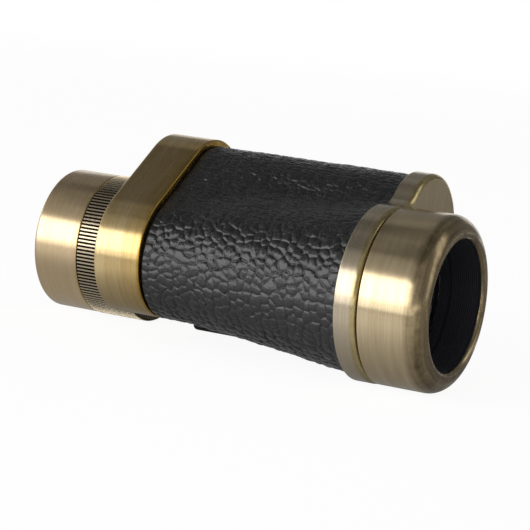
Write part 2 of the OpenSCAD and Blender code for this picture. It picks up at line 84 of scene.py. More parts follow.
@dataclass(frozen=True)
class BodyAxes:
    """The body's own axes, and how it lies on the table.

    The two axes' places and radii are those of the part's source, in millimetres.
    """

    objective: tuple[float, float] = (0.0, 0.0)
    eyepiece: tuple[float, float] = (24.0, 0.8)
    hump: tuple[float, float] = (14.8, 14.5)
    frame_lobe_r: float = 20.3
    focus_r: float = 17.5
    eye_x: float = -43.0
    lip_x: float = 73.8

    @property
    def eye_span(self) -> float:
        """Distance between the two optical axes."""
        return math.hypot(*self.eyepiece)

    @property
    def lean(self) -> float:
        """Turn about the length, in radians, that lays frame and focusing ring on the table."""
        over = (self.frame_lobe_r - self.focus_r) / self.eye_span
        return math.asin(over) + math.atan2(self.eyepiece[1], self.eyepiece[0])

    @property
    def centre(self) -> tuple[float, float]:
        """Middle of the box along x and y, seen from above.

        Returns:
            Its x and y, once the body is turned, in millimetres.
        """
        flat_angle = self.lean - math.atan2(self.eyepiece[1], self.eyepiece[0])
        eye_y = self.eye_span * math.cos(flat_angle)
        return (self.eye_x + self.lip_x) / 2, (eye_y + self.focus_r - self.frame_lobe_r) / 2

    def turn(self, points: Points) -> Points:
        """Turns directions or points in the body's axes into the shared frame's.

        Args:
            points: An array whose last side holds x, y and z.

        Returns:
            The turned array.
        """
        c, s = math.cos(self.lean), math.sin(self.lean)
        points = np.asarray(points, float)
        x, y, z = points[..., 0], points[..., 1], points[..., 2]
        return np.stack([x, y * c + z * s, -y * s + z * c], axis=-1)

    def place(self, points: Points) -> Points:
        """Moves points from the body's axes, in millimetres, to the shared frame, in metres.

        Args:
            points: An array whose last side holds x, y and z.

        Returns:
            The placed array.
        """
        shift = np.array([-self.centre[0], -self.centre[1], self.frame_lobe_r])
        return (self.turn(points) + shift) * MM


AXES = BodyAxes()


# Meshes


def link_mesh(
    name: str,
    verts: Points,
    faces: list,
    mats: list,
    mat_index: np.ndarray | None = None,
    uvs: np.ndarray | None = None,
    sharp_deg: float = 32.0,
    values: dict[str, np.ndarray] | None = None,
) -> bpy.types.Object:
    """Makes an object from points in the body's axes.

    Args:
        name: Name of the object.
        verts: Points in millimetres.
        faces: Corner indices of each face.
        mats: The object's materials.
        mat_index: Material number of each face.
        uvs: Surface place of each vertex in millimetres.
        sharp_deg: Edges that bend more than this stay sharp.
        values: Numbers that the materials read at each point, by name.

    Returns:
        The new object.
    """
    mesh = bpy.data.meshes.new(name)
    mesh.from_pydata(AXES.place(verts).tolist(), [], [list(f) for f in faces])
    for mat in mats:
        mesh.materials.append(mat)
    if mat_index is not None:
        mesh.polygons.foreach_set("material_index", np.asarray(mat_index, np.int32))
    if uvs is not None:
        layer = mesh.uv_layers.new(name=UV_NAME)
        corners = np.zeros(len(mesh.loops), np.int32)
        mesh.loops.foreach_get("vertex_index", corners)
        layer.data.foreach_set("uv", np.asarray(uvs, np.float32)[corners].ravel())
    for key, numbers in (values or {}).items():
        layer = mesh.attributes.new(key, "FLOAT", "POINT")
        layer.data.foreach_set("value", np.asarray(numbers, np.float32).ravel())
    mesh.shade_smooth()
    mesh.set_sharp_from_angle(angle=math.radians(sharp_deg))
    mesh.validate()
    obj = bpy.data.objects.new(name, mesh)
    bpy.context.scene.collection.objects.link(obj)
    return obj


def skin_rings(rings: Points, closed: bool = True, flip: bool = False) -> list[tuple]:
    """Quads between neighbouring rings of points.

    Args:
        rings: Array of rings, points and coordinates.
        closed: Whether each ring joins its last point to its first.
        flip: Whether the faces look the other way.

    Returns:
        The faces' corner indices, counted ring by ring.
    """
    n_rings, n_pts = rings.shape[:2]
    i = np.arange(n_rings - 1)[:, None] * n_pts
    j = np.arange(n_pts if closed else n_pts - 1)[None, :]
    k = (j + 1) % n_pts
    quads = np.stack([i + j, i + k, i + n_pts + k, i + n_pts + j], axis=-1).reshape(-1, 4)
    return [tuple(q) for q in (quads[:, ::-1] if flip else quads).tolist()]


def link_skin(
    name: str,
    rings: Points,
    mats: list,
    uvs: Points,
    mat_index: np.ndarray | None = None,
    sharp_deg: float = 32.0,
    values: dict[str, np.ndarray] | None = None,
    flip: bool = True,
) -> bpy.types.Object:
    """Makes an object from closed rings of points, in the body's axes.

    Args:
        name: Name of the object.
        rings: Array of rings, points and coordinates.
        mats: The object's materials.
        uvs: Surface place of each point in millimetres.
        mat_index: Material number of each strip between two rings.
        sharp_deg: Edges that bend more than this stay sharp.
        values: Numbers that the materials read, for each ring or for each of its points.
        flip: Whether the faces look the other way.

    Returns:
        The new object.
    """
    count = rings.shape[1]
    numbers = {}
    for key, value in (values or {}).items():
        numbers[key] = np.repeat(value, count) if np.ndim(value) == 1 else value
    index = None if mat_index is None else np.repeat(mat_index, count)
    points, faces = rings.reshape(-1, 3), skin_rings(rings, flip=flip)
    return link_mesh(name, points, faces, mats, index, uvs.reshape(-1, 2), sharp_deg, numbers)


def rounded(corners: list[tuple], steps: int = 6) -> list[tuple[float, float]]:
    """Rounds the corners of a line.

    Args:
        corners: Points as (x, r, rounding radius).
        steps: Segments of each rounding.

    Returns:
        The rounded line as (x, r) points.
    """
    line = []
    for i, (x, r, radius) in enumerate(corners):
        here = np.array([x, r])
        if radius <= 0 or i in (0, len(corners) - 1):
            line.append((x, r))
            continue
        before = np.array(corners[i - 1][:2]) - here
        after = np.array(corners[i + 1][:2]) - here
        before, after = before / np.linalg.norm(before), after / np.linalg.norm(after)
        half = math.acos(float(np.clip(before @ after, -1, 1))) / 2
        bisector = (before + after) / np.linalg.norm(before + after)
        middle = here + bisector * radius / math.sin(half)
        start = here + before * radius / math.tan(half) - middle
        end = here + after * radius / math.tan(half) - middle
        sweep = math.pi - 2 * half
        for t in np.linspace(0, 1, steps + 1):
            a, b = math.sin((1 - t) * sweep), math.sin(t * sweep)
            line.append(tuple(middle + (a * start + b * end) / math.sin(sweep)))
    return line


@dataclass
class Turning:
    """A piece turned on a lathe round a line along the body, or round an upright one.

    The axis is its place across the body, or its place along and across it when
    upright, where the line's first numbers are heights.
    """

    name: str
    axis: tuple[float, float]
    line: list[tuple[float, float]]
    segments: int = 192
    upright: bool = False

    def build(
        self, mats: list, mat_of: dict[int, int] | None = None, polish: np.ndarray | None = None
    ) -> bpy.types.Object:
        """Builds the turned mesh.

        Args:
            mats: Materials of the piece.
            mat_of: First line segment of each material, by material number.
            polish: How far each point of the line is polished, from 0 to 1.

        Returns:
            The new object.
        """
        line = np.array(self.line)
        around = (len(line), self.segments)
        shine = np.zeros(len(line)) if polish is None else np.asarray(polish)
        angle = np.linspace(0, 2 * math.pi, self.segments, endpoint=False)
        rings = np.zeros((*around, 3))
        along, first, second = (2, 0, 1) if self.upright else (0, 1, 2)
        rings[..., along] = line[:, 0][:, None]
        rings[..., first] = self.axis[0] + line[:, 1][:, None] * np.cos(angle)
        rings[..., second] = self.axis[1] + line[:, 1][:, None] * np.sin(angle)
        run = np.concatenate([[0], np.cumsum(np.linalg.norm(np.diff(line, axis=0), axis=1))])
        uvs = np.zeros((*around, 2))
        uvs[..., 0] = angle * line[:, 1].max()
        uvs[..., 1] = run[:, None]
        index = np.zeros(len(line) - 1, np.int32)
        for number, segment in (mat_of or {}).items():
            index[segment:] = number
        return link_skin(self.name, rings, mats, uvs, index, values={POLISH_NAME: shine})


def ease(value: np.ndarray, start: float, end: float) -> np.ndarray:
    """Runs softly from 0 at start to 1 at end."""
    t = np.clip((np.asarray(value, float) - start) / (end - start), 0, 1)
    return t * t * (3 - 2 * t)


# Outlines of the body, cap and frame


def smooth_min(a: np.ndarray, b: np.ndarray, k: np.ndarray | float) -> np.ndarray:
    """The smaller of two distances, with a fillet where they meet.

    Args:
        a: One distance.
        b: The other distance.
        k: About the fillet's radius.

    Returns:
        The distances to the joined shape.
    """
    k = np.maximum(k, 1e-6)
    h = np.clip(0.5 + 0.5 * (b - a) / k, 0, 1)
    return b + (a - b) * h - k * h * (1 - h)


def round_bar(p: Points, a: tuple, b: tuple, ra: np.ndarray | float, rb: float) -> np.ndarray:
    """Distance from points to a bar with round ends of different radii.

    Args:
        p: Points as y and z.
        a: Centre of one end.
        b: Centre of the other end.
        ra: Radius at a.
        rb: Radius at b.

    Returns:
        The distances, negative inside.
    """
    start, way = np.array(a), np.array(b) - np.array(a)
    length = np.linalg.norm(way)
    way = way / length
    along = (p - start) @ way
    slope = (ra - rb) / length
    off = np.linalg.norm(p - start - along[..., None] * way, axis=-1)
    t = np.clip(along + off * slope / np.sqrt(1 - slope**2), 0, length)
    foot = start + t[..., None] * way
    return np.linalg.norm(p - foot, axis=-1) - (ra + (rb - ra) * t / length)


@dataclass(frozen=True)
class Outline:
    """Cross-section of the cap, the body or the frame, as a function of x.

    The distance fields repeat the source's outlines, with soft fillets in the necks.
    """

    centre: tuple[float, float] = (12.0, 5.0)
    count: int = 720
    reach: float = 60.0
    halvings: int = 34

    def distance(self, p: Points, x: np.ndarray) -> np.ndarray:
        """Distance from points, as y and z, to the outline at x, negative inside."""
        raise NotImplementedError

    def ring(self, x: float, inset: float = 0.0) -> Points:
        """Points of the outline at one station, evenly spaced along it.

        Args:
            x: Station along the body.
            inset: How far the outline is drawn in.

        Returns:
            The points as x, y and z.
        """
        angle = np.linspace(-QUARTER_TURN, 3 * QUARTER_TURN, 4 * self.count, endpoint=False)
        way = np.stack([np.cos(angle), np.sin(angle)], axis=-1)
        low, high = np.zeros(len(angle)), np.full(len(angle), self.reach)
        where = np.full(len(angle), float(x))
        for _ in range(self.halvings):
            mid = (low + high) / 2
            inside = self.distance(np.array(self.centre) + way * mid[:, None], where) < -inset
            low, high = np.where(inside, mid, low), np.where(inside, high, mid)
        line = np.array(self.centre) + way * low[:, None]
        closed = np.vstack([line, line[:1]])
        run = np.concatenate([[0], np.cumsum(np.linalg.norm(np.diff(closed, axis=0), axis=1))])
        even = np.linspace(0, run[-1], self.count, endpoint=False)
        y, z = np.interp(even, run, closed[:, 0]), np.interp(even, run, closed[:, 1])
        return np.stack([np.full(self.count, float(x)), y, z], axis=-1)

    def skin(self, stations: list[tuple[float, float]]) -> tuple[Points, Points]:
        """Rings of the outline along the body, with their places on the surface.

        Args:
            stations: Places along the body, each with how far the outline is drawn in.

        Returns:
            The rings, and each point's place along the outline and along the body.
        """
        rings = np.array([self.ring(x, inset) for x, inset in stations])
        arc = np.linalg.norm(np.diff(rings, axis=1, append=rings[:, :1]), axis=-1).cumsum(axis=1)
        return rings, np.stack([arc, np.repeat(rings[:, :1, 0], rings.shape[1], axis=1)], axis=-1)


@dataclass(frozen=True)
class CapOutline(Outline):
    """Rounded triangle of the rear cap."""

    lobe_r: float = 15.25
    hump_r: float = 15.5

    def distance(self, p: Points, x: np.ndarray) -> np.ndarray:
        """Distance from points to the cap's outline.

        Args:
            p: Points as y and z.
            x: Their stations, which make no difference here.

        Returns:
            The distances, negative inside.
        """
        near = (0.0, AXES.eyepiece[1])
        low = round_bar(p, near, AXES.eyepiece, self.lobe_r, self.lobe_r)
        side = round_bar(p, AXES.eyepiece, AXES.hump, self.lobe_r, self.hump_r)
        flank = round_bar(p, near, AXES.hump, self.lobe_r, self.hump_r)
        return np.minimum(low, np.minimum(side, flank))


@dataclass(frozen=True)
class BodyOutline(Outline):
    """The leather's outside: round lobes at the rear, a flaring barrel at the front.

    The fillet in the necks grows from nothing at the rear end, and has its full radius
    at 1 / fillet_rise of the length.
    """

    lobe_r: float = 14.4
    hump_r: float = 14.0
    barrel_r: float = 19.2
    straight: float = 9.6
    length: float = 52.8
    dip: float = 5.5
    fillet: float = 5.0
    fillet_rise: float = 2.5

    def distance(self, p: Points, x: np.ndarray) -> np.ndarray:
        """Distance from points to the leather's outside.

        Args:
            p: Points as y and z.
            x: Their stations along the body.

        Returns:
            The distances, negative inside.
        """
        grow = np.clip(x - self.straight, 0, None) / (self.length - self.straight)
        share = np.clip(x / self.length, 0, 1)
        barrel_r = self.lobe_r + (self.barrel_r - self.lobe_r) * grow
        barrel = np.linalg.norm(p - np.array(AXES.objective), axis=-1) - barrel_r
        flank = round_bar(p, AXES.objective, AXES.hump, self.lobe_r - self.dip * share, self.hump_r)
        side = round_bar(p, AXES.eyepiece, AXES.hump, self.lobe_r, self.hump_r)
        low = round_bar(p, AXES.objective, AXES.eyepiece, self.lobe_r, self.lobe_r)
        soft = self.fillet * np.clip(share * self.fillet_rise, 0, 1)
        upper = np.minimum(smooth_min(barrel, flank, soft), smooth_min(barrel, side, soft))
        return np.minimum(upper, low)


@dataclass(frozen=True)
class FrameOutline(Outline):
    """The front frame: a ring round the objective with a hump for the front prism."""

    lobe_r: float = 20.3
    hump_r: float = 14.8
    eye_r: float = 15.2
    fillet: float = 3.2

    def distance(self, p: Points, x: np.ndarray) -> np.ndarray:
        """Distance from points to the frame's outline.

        Args:
            p: Points as y and z.
            x: Their stations, which make no difference here.

        Returns:
            The distances, negative inside.
        """
        barrel = np.linalg.norm(p - np.array(AXES.objective), axis=-1) - self.lobe_r
        side = round_bar(p, AXES.eyepiece, AXES.hump, self.eye_r, self.hump_r)
        low = round_bar(p, (0.0, AXES.eyepiece[1]), AXES.eyepiece, self.eye_r, self.eye_r)
        return np.minimum(smooth_min(barrel, side, self.fillet), low)


def plate(
    name: str, outer: Points, holes: list[Points], x: float, mats: list, facing: Facing
) -> bpy.types.Object:
    """A flat face across the body with holes in it.

    Args:
        name: Name of the object.
        outer: Outline as y and z.
        holes: Outlines of the holes as y and z.
        x: Station of the face.
        mats: Materials of the face.
        facing: Which way it looks.

    Returns:
        The new object.
    """
    loops = [outer, *holes]
    coords, edges, start = [], [], 0
    for loop in loops:
        coords += [Vector(p) for p in loop]
        count = len(loop)
        edges += [(start + i, start + (i + 1) % count) for i in range(count)]
        start += count
    verts, _, tris, *_ = delaunay_2d_cdt(coords, edges, [], 0, 1e-5)
    flat = np.array([v[:] for v in verts])
    keep = []
    for tri in tris:
        middle = flat[list(tri)].mean(axis=0)
        if inside_loop(middle, outer) and not any(inside_loop(middle, h) for h in holes):
            a, b, c = flat[tri[0]], flat[tri[1]], flat[tri[2]]
            area = (b[0] - a[0]) * (c[1] - a[1]) - (b[1] - a[1]) * (c[0] - a[0])
            keep.append(tri if area * facing.value > 0 else tri[::-1])
    points = np.column_stack([np.full(len(flat), x), flat])
    return link_mesh(name, points, keep, mats, uvs=flat[:, ::-1])


def inside_loop(point: np.ndarray, loop: Points) -> bool:
    """Whether a point lies inside a closed line, by counting crossings.

    Args:
        point: The point as y and z.
        loop: The line's points, without the first one again at its end.

    Returns:
        True inside.
    """
    a, b = loop, np.roll(loop, -1, axis=0)
    spans = (a[:, 1] > point[1]) != (b[:, 1] > point[1])
    rise = np.where(b[:, 1] == a[:, 1], 1e-12, b[:, 1] - a[:, 1])
    cross = a[:, 0] + (point[1] - a[:, 1]) / rise * (b[:, 0] - a[:, 0])
    return int(np.sum(spans & (cross > point[0]))) % 2 == 1


def circle(centre: tuple[float, float], r: float, count: int = 96) -> Points:
    """Points round a circle as y and z."""
    a = np.linspace(0, 2 * math.pi, count, endpoint=False)
    return np.array(centre) + r * np.stack([np.cos(a), np.sin(a)], axis=-1)


def joined(name: str, parts: list[bpy.types.Object]) -> bpy.types.Object:
    """Joins objects into one.

    Args:
        name: Its name.
        parts: The objects, of which the first one stays.

    Returns:
        The joined object.
    """
    for obj in bpy.context.selected_objects:
        obj.select_set(False)
    for obj in parts:
        obj.select_set(True)
    bpy.context.view_layer.objects.active = parts[0]
    bpy.ops.object.join()
    parts[0].name = name
    return parts[0]


# Finishes


def linear(hex_colour: str) -> tuple[float, float, float, float]:
    """Turns an sRGB hex colour into linear red, green, blue and alpha."""
    parts = [int(hex_colour[i : i + 2], 16) / 255 for i in (1, 3, 5)]
    return (*[c / 12.92 if c <= 0.04045 else ((c + 0.055) / 1.055) ** 2.4 for c in parts], 1.0)


def add_node(
    mat: bpy.types.ID, kind: str, settings: dict | None = None, links: dict | None = None
) -> bpy.types.Node:
    """Adds a shader node with its settings and links.

    Args:
        mat: The material or world that holds the tree.
        kind: The node's type, without the word that all types start with.
        settings: Values of attributes, and of sockets by name or number.
        links: Output sockets to join to sockets, by name or number. A node stands for
            its result, which is the third output of a colour mix and else the first.

    Returns:
        The new node.
    """
    node = mat.node_tree.nodes.new("ShaderNode" + kind)
    for key, value in (settings or {}).items():
        if isinstance(key, int) or key in node.inputs:
            node.inputs[key].default_value = value
        else:
            setattr(node, key, value)
    for key, source in (links or {}).items():
        if isinstance(source, bpy.types.Node):
            source = source.outputs[2 if getattr(source, "data_type", "") == "RGBA" else 0]
        mat.node_tree.links.new(source, node.inputs[key])
    return node


def new_material(name: str) -> bpy.types.Material:
    """Adds an empty material with nodes.

    Args:
        name: Its name.

    Returns:
        The new material.
    """
    mat = bpy.data.materials.new(name)
    mat.use_nodes = True
    mat.node_tree.nodes.clear()
    return mat


def finish_material(
    mat: bpy.types.Material, kind: str, settings: dict | None = None, links: dict | None = None
) -> bpy.types.Material:
    """Adds a material's shader and joins it to the output.

    Args:
        mat: The material.
        kind: The shader's type, as for any node.
        settings: The shader's settings.
        links: The shader's links.

    Returns:
        The material.
    """
    shader = add_node(mat, kind, settings, links)
    add_node(mat, "OutputMaterial", links={"Surface": shader})
    return mat


def spread(low: float, high: float, noise: tuple[float, float] = (0.3, 0.7)) -> dict[int, float]:
    """Settings that stretch a noise's usual values to the span from low to high."""
    return {1: noise[0], 2: noise[1], 3: low, 4: high}


def marks(
    mat: bpy.types.Material, size_mm: float, detail: float, roughness: float = 0.5
) -> bpy.types.Node:
    """Adds irregular marks of a real size that are fixed to the piece.

    Args:
        mat: The material that holds the tree.
        size_mm: Size of the marks in millimetres.
        detail: How many finer layers they have.
        roughness: How strong the finer layers are.

    Returns:
        The marks' node.
    """
    place = add_node(mat, "TexCoord")
    look = {"Scale": 1 / (size_mm * MM), "Detail": detail, "Roughness": roughness}
    return add_node(mat, "TexNoise", look, {"Vector": place.outputs["Object"]})


def mesh_value(mat: bpy.types.Material, name: str) -> bpy.types.NodeSocket:
    """The value that a mesh gives at each of its points, such as its polish."""
    return add_node(mat, "Attribute", {"attribute_name": name}).outputs["Fac"]


@dataclass(frozen=True)
class AntiqueBrass:
    """Brass that was brushed on a lathe, darkened, polished on its edges and lacquered.

    Fine scratches round the axis draw each reflection out along the length and
    leave thin streaks in it. Where the mesh's polish value is high the scratches
    are buffed away, which gives a sharper shine with blotches of old tarnish.
    Real scratches are too fine to show, so they are drawn 0.12 mm wide.
    """

    name: str
    light: str
    dark: str
    edge_light: str
    edge_dark: str
    roughness: float = 0.25
    edge_roughness: float = 0.22
    run_mm: float = 20.0
    streak_mm: float = 0.12
    streak: float = 0.22
    scratch_mm: float = 0.01
    cloud_mm: float = 5 / 3
    cloud_share: float = 0.3
    blotch_mm: float = 2.2
    blotch_share: float = 0.35
    anisotropy: float = 0.6
    anisotropy_turn: float = 0.25

    def drawn_out(
        self, mat: bpy.types.Material, width_mm: float, detail: float, roughness: float
    ) -> bpy.types.Node:
        """Adds streaks that are drawn out round the axis.

        Args:
            mat: The material that holds the tree.
            width_mm: Width of a streak in millimetres.
            detail: How many finer layers they have.
            roughness: How strong the finer layers are.

        Returns:
            The streaks' node.
        """
        uv = add_node(mat, "UVMap", {"uv_map": UV_NAME})
        scale = (1 / self.run_mm, 1 / width_mm, 1.0)
        place = add_node(mat, "Mapping", {"Scale": scale}, {"Vector": uv})
        look = {"Scale": 1.0, "Detail": detail, "Roughness": roughness}
        return add_node(mat, "TexNoise", look, {"Vector": place})

    @staticmethod
    def between(
        mat: bpy.types.Material, noise: bpy.types.Node, low: str, high: str
    ) -> bpy.types.Node:
        """Adds a mix of two colours by a noise.

        Args:
            mat: The material that holds the tree.
            noise: The noise's node.
            low: Hex colour where the noise is low.
            high: Hex colour where it is high.

        Returns:
            The mix's node.
        """
        share = add_node(mat, "MapRange", spread(0.0, 1.0), {0: noise})
        return add_node(mat, "Mix", {"data_type": "RGBA", 6: linear(low), 7: linear(high)}, {0: share})

    def build(self) -> bpy.types.Material:
        """Builds the material.

        Returns:
            The new material.
        """
        mat = new_material(self.name)
        fine = self.drawn_out(mat, self.streak_mm, 4.0, 0.7)
        cloud = self.drawn_out(mat, self.cloud_mm, 3.0, 0.5)
        blotch = marks(mat, self.blotch_mm, 5.0, 0.65)
        polish = mesh_value(mat, POLISH_NAME)
        streaky = add_node(mat, "Mix", {"data_type": "FLOAT", 0: self.cloud_share}, {2: fine, 3: cloud})
        worn = add_node(mat, "Mix", {"data_type": "FLOAT", 0: self.blotch_share}, {2: cloud, 3: blotch})
        brushed = self.between(mat, streaky, self.dark, self.light)
        polished = self.between(mat, worn, self.edge_dark, self.edge_light)
        colour = add_node(mat, "Mix", {"data_type": "RGBA"}, {0: polish, 6: brushed, 7: polished})
        dull = add_node(
            mat, "MapRange", spread(self.roughness * 1.2, self.roughness * 0.8), {0: fine}
        )
        sharp = add_node(
            mat, "MapRange", spread(self.edge_roughness * 1.5, self.edge_roughness * 0.7), {0: blotch}
        )
        rough = add_node(mat, "Mix", {"data_type": "FLOAT"}, {0: polish, 2: dull, 3: sharp})
        relief = {"Strength": self.streak, "Distance": self.scratch_mm * MM}
        bump = add_node(mat, "Bump", relief, {"Height": fine})
        tangent = add_node(mat, "Tangent", {"direction_type": "UV_MAP", "uv_map": UV_NAME})
        shine = {
            "Metallic": 1.0,
            "Anisotropic": self.anisotropy,
            "Anisotropic Rotation": self.anisotropy_turn,
        }
        links = {"Base Color": colour, "Roughness": rough, "Normal": bump, "Tangent": tangent}
        return finish_material(mat, "BsdfPrincipled", shine, links)


@dataclass(frozen=True)
class KnurledBrass:
    """Pale brass, knurled by a pressed wheel and handled for many years.

    The teeth are worn bright. Where the mesh's crease value is high, between the teeth, on the rims and
    in the bore, the colour is darkened as painted shade and the roughness is dulled.
    """

    name: str = "worn_knurled_brass"
    tooth: str = "#c2b499"
    # Colour of the painted shade between the teeth, on the rims and in the bore.
    painted_shade: str = "#211a14"
    roughness: float = 0.24
    shade_roughness: float = 0.6
    mark_mm: float = 0.6

    def build(self) -> bpy.types.Material:
        """Builds the material.

        Returns:
            The new material.
        """
        mat = new_material(self.name)
        crease = mesh_value(mat, CREASE_NAME)
        # Painted shade: the crease value darkens the teeth's colour towards the shade colour.
        colours = {"data_type": "RGBA", 6: linear(self.tooth), 7: linear(self.painted_shade)}
        colour = add_node(mat, "Mix", colours, {0: crease})
        wear = spread(self.roughness * 0.8, self.roughness * 1.3)
        worn = add_node(mat, "MapRange", wear, {0: marks(mat, self.mark_mm, 3.0)})
        dull = {"data_type": "FLOAT", 3: self.shade_roughness}
        rough = add_node(mat, "Mix", dull, {0: crease, 2: worn})
        links = {"Base Color": colour, "Roughness": rough}
        return finish_material(mat, "BsdfPrincipled", {"Metallic": 1.0}, links)


@dataclass(frozen=True)
class PebbledLeather:
    """Goat leather, embossed with pebbles, dyed black and glazed.

    The glaze gives each pebble a soft grey shine with lighter specks where it is
    worn. The creases are darkened as painted shade, and their roughness is dulled.
    Its pores are drawn coarser than real ones, at 0.5 mm, so that they show.
    """

    name: str = "glazed_pebbled_leather"
    pebble: str = "#0b0c0f"
    worn: str = "#262521"
    # Colour of the painted shade in the creases.
    crease: str = "#040405"
    roughness: float = 0.27
    crease_roughness: float = 0.8
    pore_mm: float = 0.5
    pore_depth_mm: float = 0.15
    specular: float = 0.34
    glaze: float = 0.62
    glaze_roughness: float = 0.13

    def build(self) -> bpy.types.Material:
        """Builds the material.

        Returns:
            The new material.
        """
        mat = new_material(self.name)
        crease = mesh_value(mat, CREASE_NAME)
        pores = marks(mat, self.pore_mm, 4.0, 0.6)
        specks = add_node(
            mat,
            "MapRange",
            {"interpolation_type": "SMOOTHSTEP", **spread(0.0, 1.0, (0.5, 0.68))},
            {0: pores},
        )
        tops = {"data_type": "RGBA", 6: linear(self.pebble), 7: linear(self.worn)}
        top = add_node(mat, "Mix", tops, {0: specks})
        # Painted shade: the creases are darkened towards near-black.
        crease_shade = {"data_type": "RGBA", 7: linear(self.crease)}
        colour = add_node(mat, "Mix", crease_shade, {0: crease, 6: top})
        gloss = spread(self.roughness * 0.8, self.roughness * 1.35, (0.35, 0.65))
        smooth = add_node(mat, "MapRange", gloss, {0: pores})
        dull = {"data_type": "FLOAT", 3: self.crease_roughness}
        rough = add_node(mat, "Mix", dull, {0: crease, 2: smooth})
        relief = {"Strength": 1.0, "Distance": self.pore_depth_mm * MM}
        bump = add_node(mat, "Bump", relief, {"Height": pores})
        shine = {
            "Specular IOR Level": self.specular,
            "Coat Weight": self.glaze,
            "Coat Roughness": self.glaze_roughness,
        }
        links = {"Base Color": colour, "Roughness": rough, "Normal": bump}
        return finish_material(mat, "BsdfPrincipled", shine, links)


@dataclass(frozen=True)
class DullBlack:
    """A dull black surface, such as lens paint, moulded rubber or turned ebonite.

    A fine grain keeps its faint shine from lying flat.
    """

    name: str
    colour: str
    roughness: float
    grain_mm: float = 0.2
    bump: float = 0.3
    specular: float = 0.3
    grain_depth_mm: float = 0.03

    def build(self) -> bpy.types.Material:
        """Builds the material.

        Returns:
            The new material.
        """
        mat = new_material(self.name)
        grain = marks(mat, self.grain_mm, 3.0)
        uneven = spread(self.roughness * 0.9, self.roughness * 1.1)
        rough = add_node(mat, "MapRange", uneven, {0: grain})
        relief = {"Strength": self.bump, "Distance": self.grain_depth_mm * MM}
        bump = add_node(mat, "Bump", relief, {"Height": grain})
        shine = {"Base Color": linear(self.colour), "Specular IOR Level": self.specular}
        return finish_material(mat, "BsdfPrincipled", shine, {"Roughness": rough, "Normal": bump})


@dataclass(frozen=True)
class TurnedMetal:
    """Bare metal, turned or rolled, with a fine even grain that dulls its shine."""

    name: str
    colour: str
    roughness: float = 0.35
    grain_mm: float = 0.15

    def build(self) -> bpy.types.Material:
        """Builds the material.

        Returns:
            The new material.
        """
        mat = new_material(self.name)
        uneven = spread(self.roughness * 0.85, self.roughness * 1.2)
        rough = add_node(mat, "MapRange", uneven, {0: marks(mat, self.grain_mm, 2.0)})
        shine = {"Base Color": linear(self.colour), "Metallic": 1.0}
        return finish_material(mat, "BsdfPrincipled", shine, {"Roughness": rough})


@dataclass(frozen=True)
class CoatedGlass:
    """Optical glass, polished and coated, with a breath of haze.

    The coating holds its mirror shine down and leaves a faint tint.
    """

    name: str
    tint: str = "#dfe9ee"
    ior: float = 1.5
    specular: float = 0.2
    haze_mm: float = 6.0
    haze: float = 0.03

    def build(self) -> bpy.types.Material:
        """Builds the material.

        Returns:
            The new material.
        """
        mat = new_material(self.name)
        rough = add_node(mat, "MapRange", spread(0.0, self.haze), {0: marks(mat, self.haze_mm, 2.0)})
        clear = {
            "Base Color": linear(self.tint),
            "Transmission Weight": 1.0,
            "IOR": self.ior,
            "Specular IOR Level": self.specular,
        }
        return finish_material(mat, "BsdfPrincipled", clear, {"Roughness": rough})


# The cap's brass keeps a warm golden tone, deeper where its rim is buffed.
GOLDEN = AntiqueBrass("brushed_golden_brass", "#decba0", "#ae8e52", "#cfaa56", "#8f6c2c")
# The objective ring is paler and browner, with dark blotches on its rolled lip.
ANTIQUE = AntiqueBrass("brushed_antique_brass", "#dbcaa9", "#b09b74", "#b7a582", "#574730", 0.23)
# The frame's band shines almost silvery, and its front edge golden.
SILVERY = AntiqueBrass("brushed_silvery_brass", "#d2c5ae", "#a3947c", "#cdbd8c", "#8a7850")
# The sleeve is the palest of the brass pieces, with a soft champagne tone.
CHAMPAGNE = AntiqueBrass("brushed_champagne_brass", "#dcc7a4", "#c2a87f", "#d0b87c", "#a08553")
# Matt paint against stray light looks dark grey where light falls on it.
LENS_PAINT = DullBlack("matt_black_lens_paint", "#292a2f", 0.75)
# Moulded rubber is a deeper black, with a soft and faint sheen.
RUBBER = DullBlack("moulded_black_rubber", "#0d0d0e", 0.55, grain_mm=0.3)
# Ebonite turned on a lathe has the clearest sheen of the black pieces.
EBONITE = DullBlack("turned_black_ebonite", "#0e0e10", 0.38, grain_mm=0.15, bump=0.15, specular=0.5)


@dataclass
class Finishes:
    """All the finishes, built once."""

    cap: bpy.types.Material = field(default_factory=GOLDEN.build)
    ring: bpy.types.Material = field(default_factory=ANTIQUE.build)
    band: bpy.types.Material = field(default_factory=SILVERY.build)
    sleeve: bpy.types.Material = field(default_factory=CHAMPAGNE.build)
    knurl: bpy.types.Material = field(default_factory=KnurledBrass().build)
    inner: bpy.types.Material = field(default_factory=TurnedMetal("turned_plain_brass", "#ac9566").build)
    leather: bpy.types.Material = field(default_factory=PebbledLeather().build)
    black: bpy.types.Material = field(default_factory=LENS_PAINT.build)
    rubber: bpy.types.Material = field(default_factory=RUBBER.build)
    cup: bpy.types.Material = field(default_factory=EBONITE.build)
    steel: bpy.types.Material = field(default_factory=TurnedMetal("plain_turned_steel", "#9a9a98").build)
    glass: bpy.types.Material = field(default_factory=CoatedGlass("polished_prism_glass").build)
    front_glass: bpy.types.Material = field(
        default_factory=CoatedGlass("coated_objective_glass", "#d2d4dc").build
    )


# Sub-assemblies


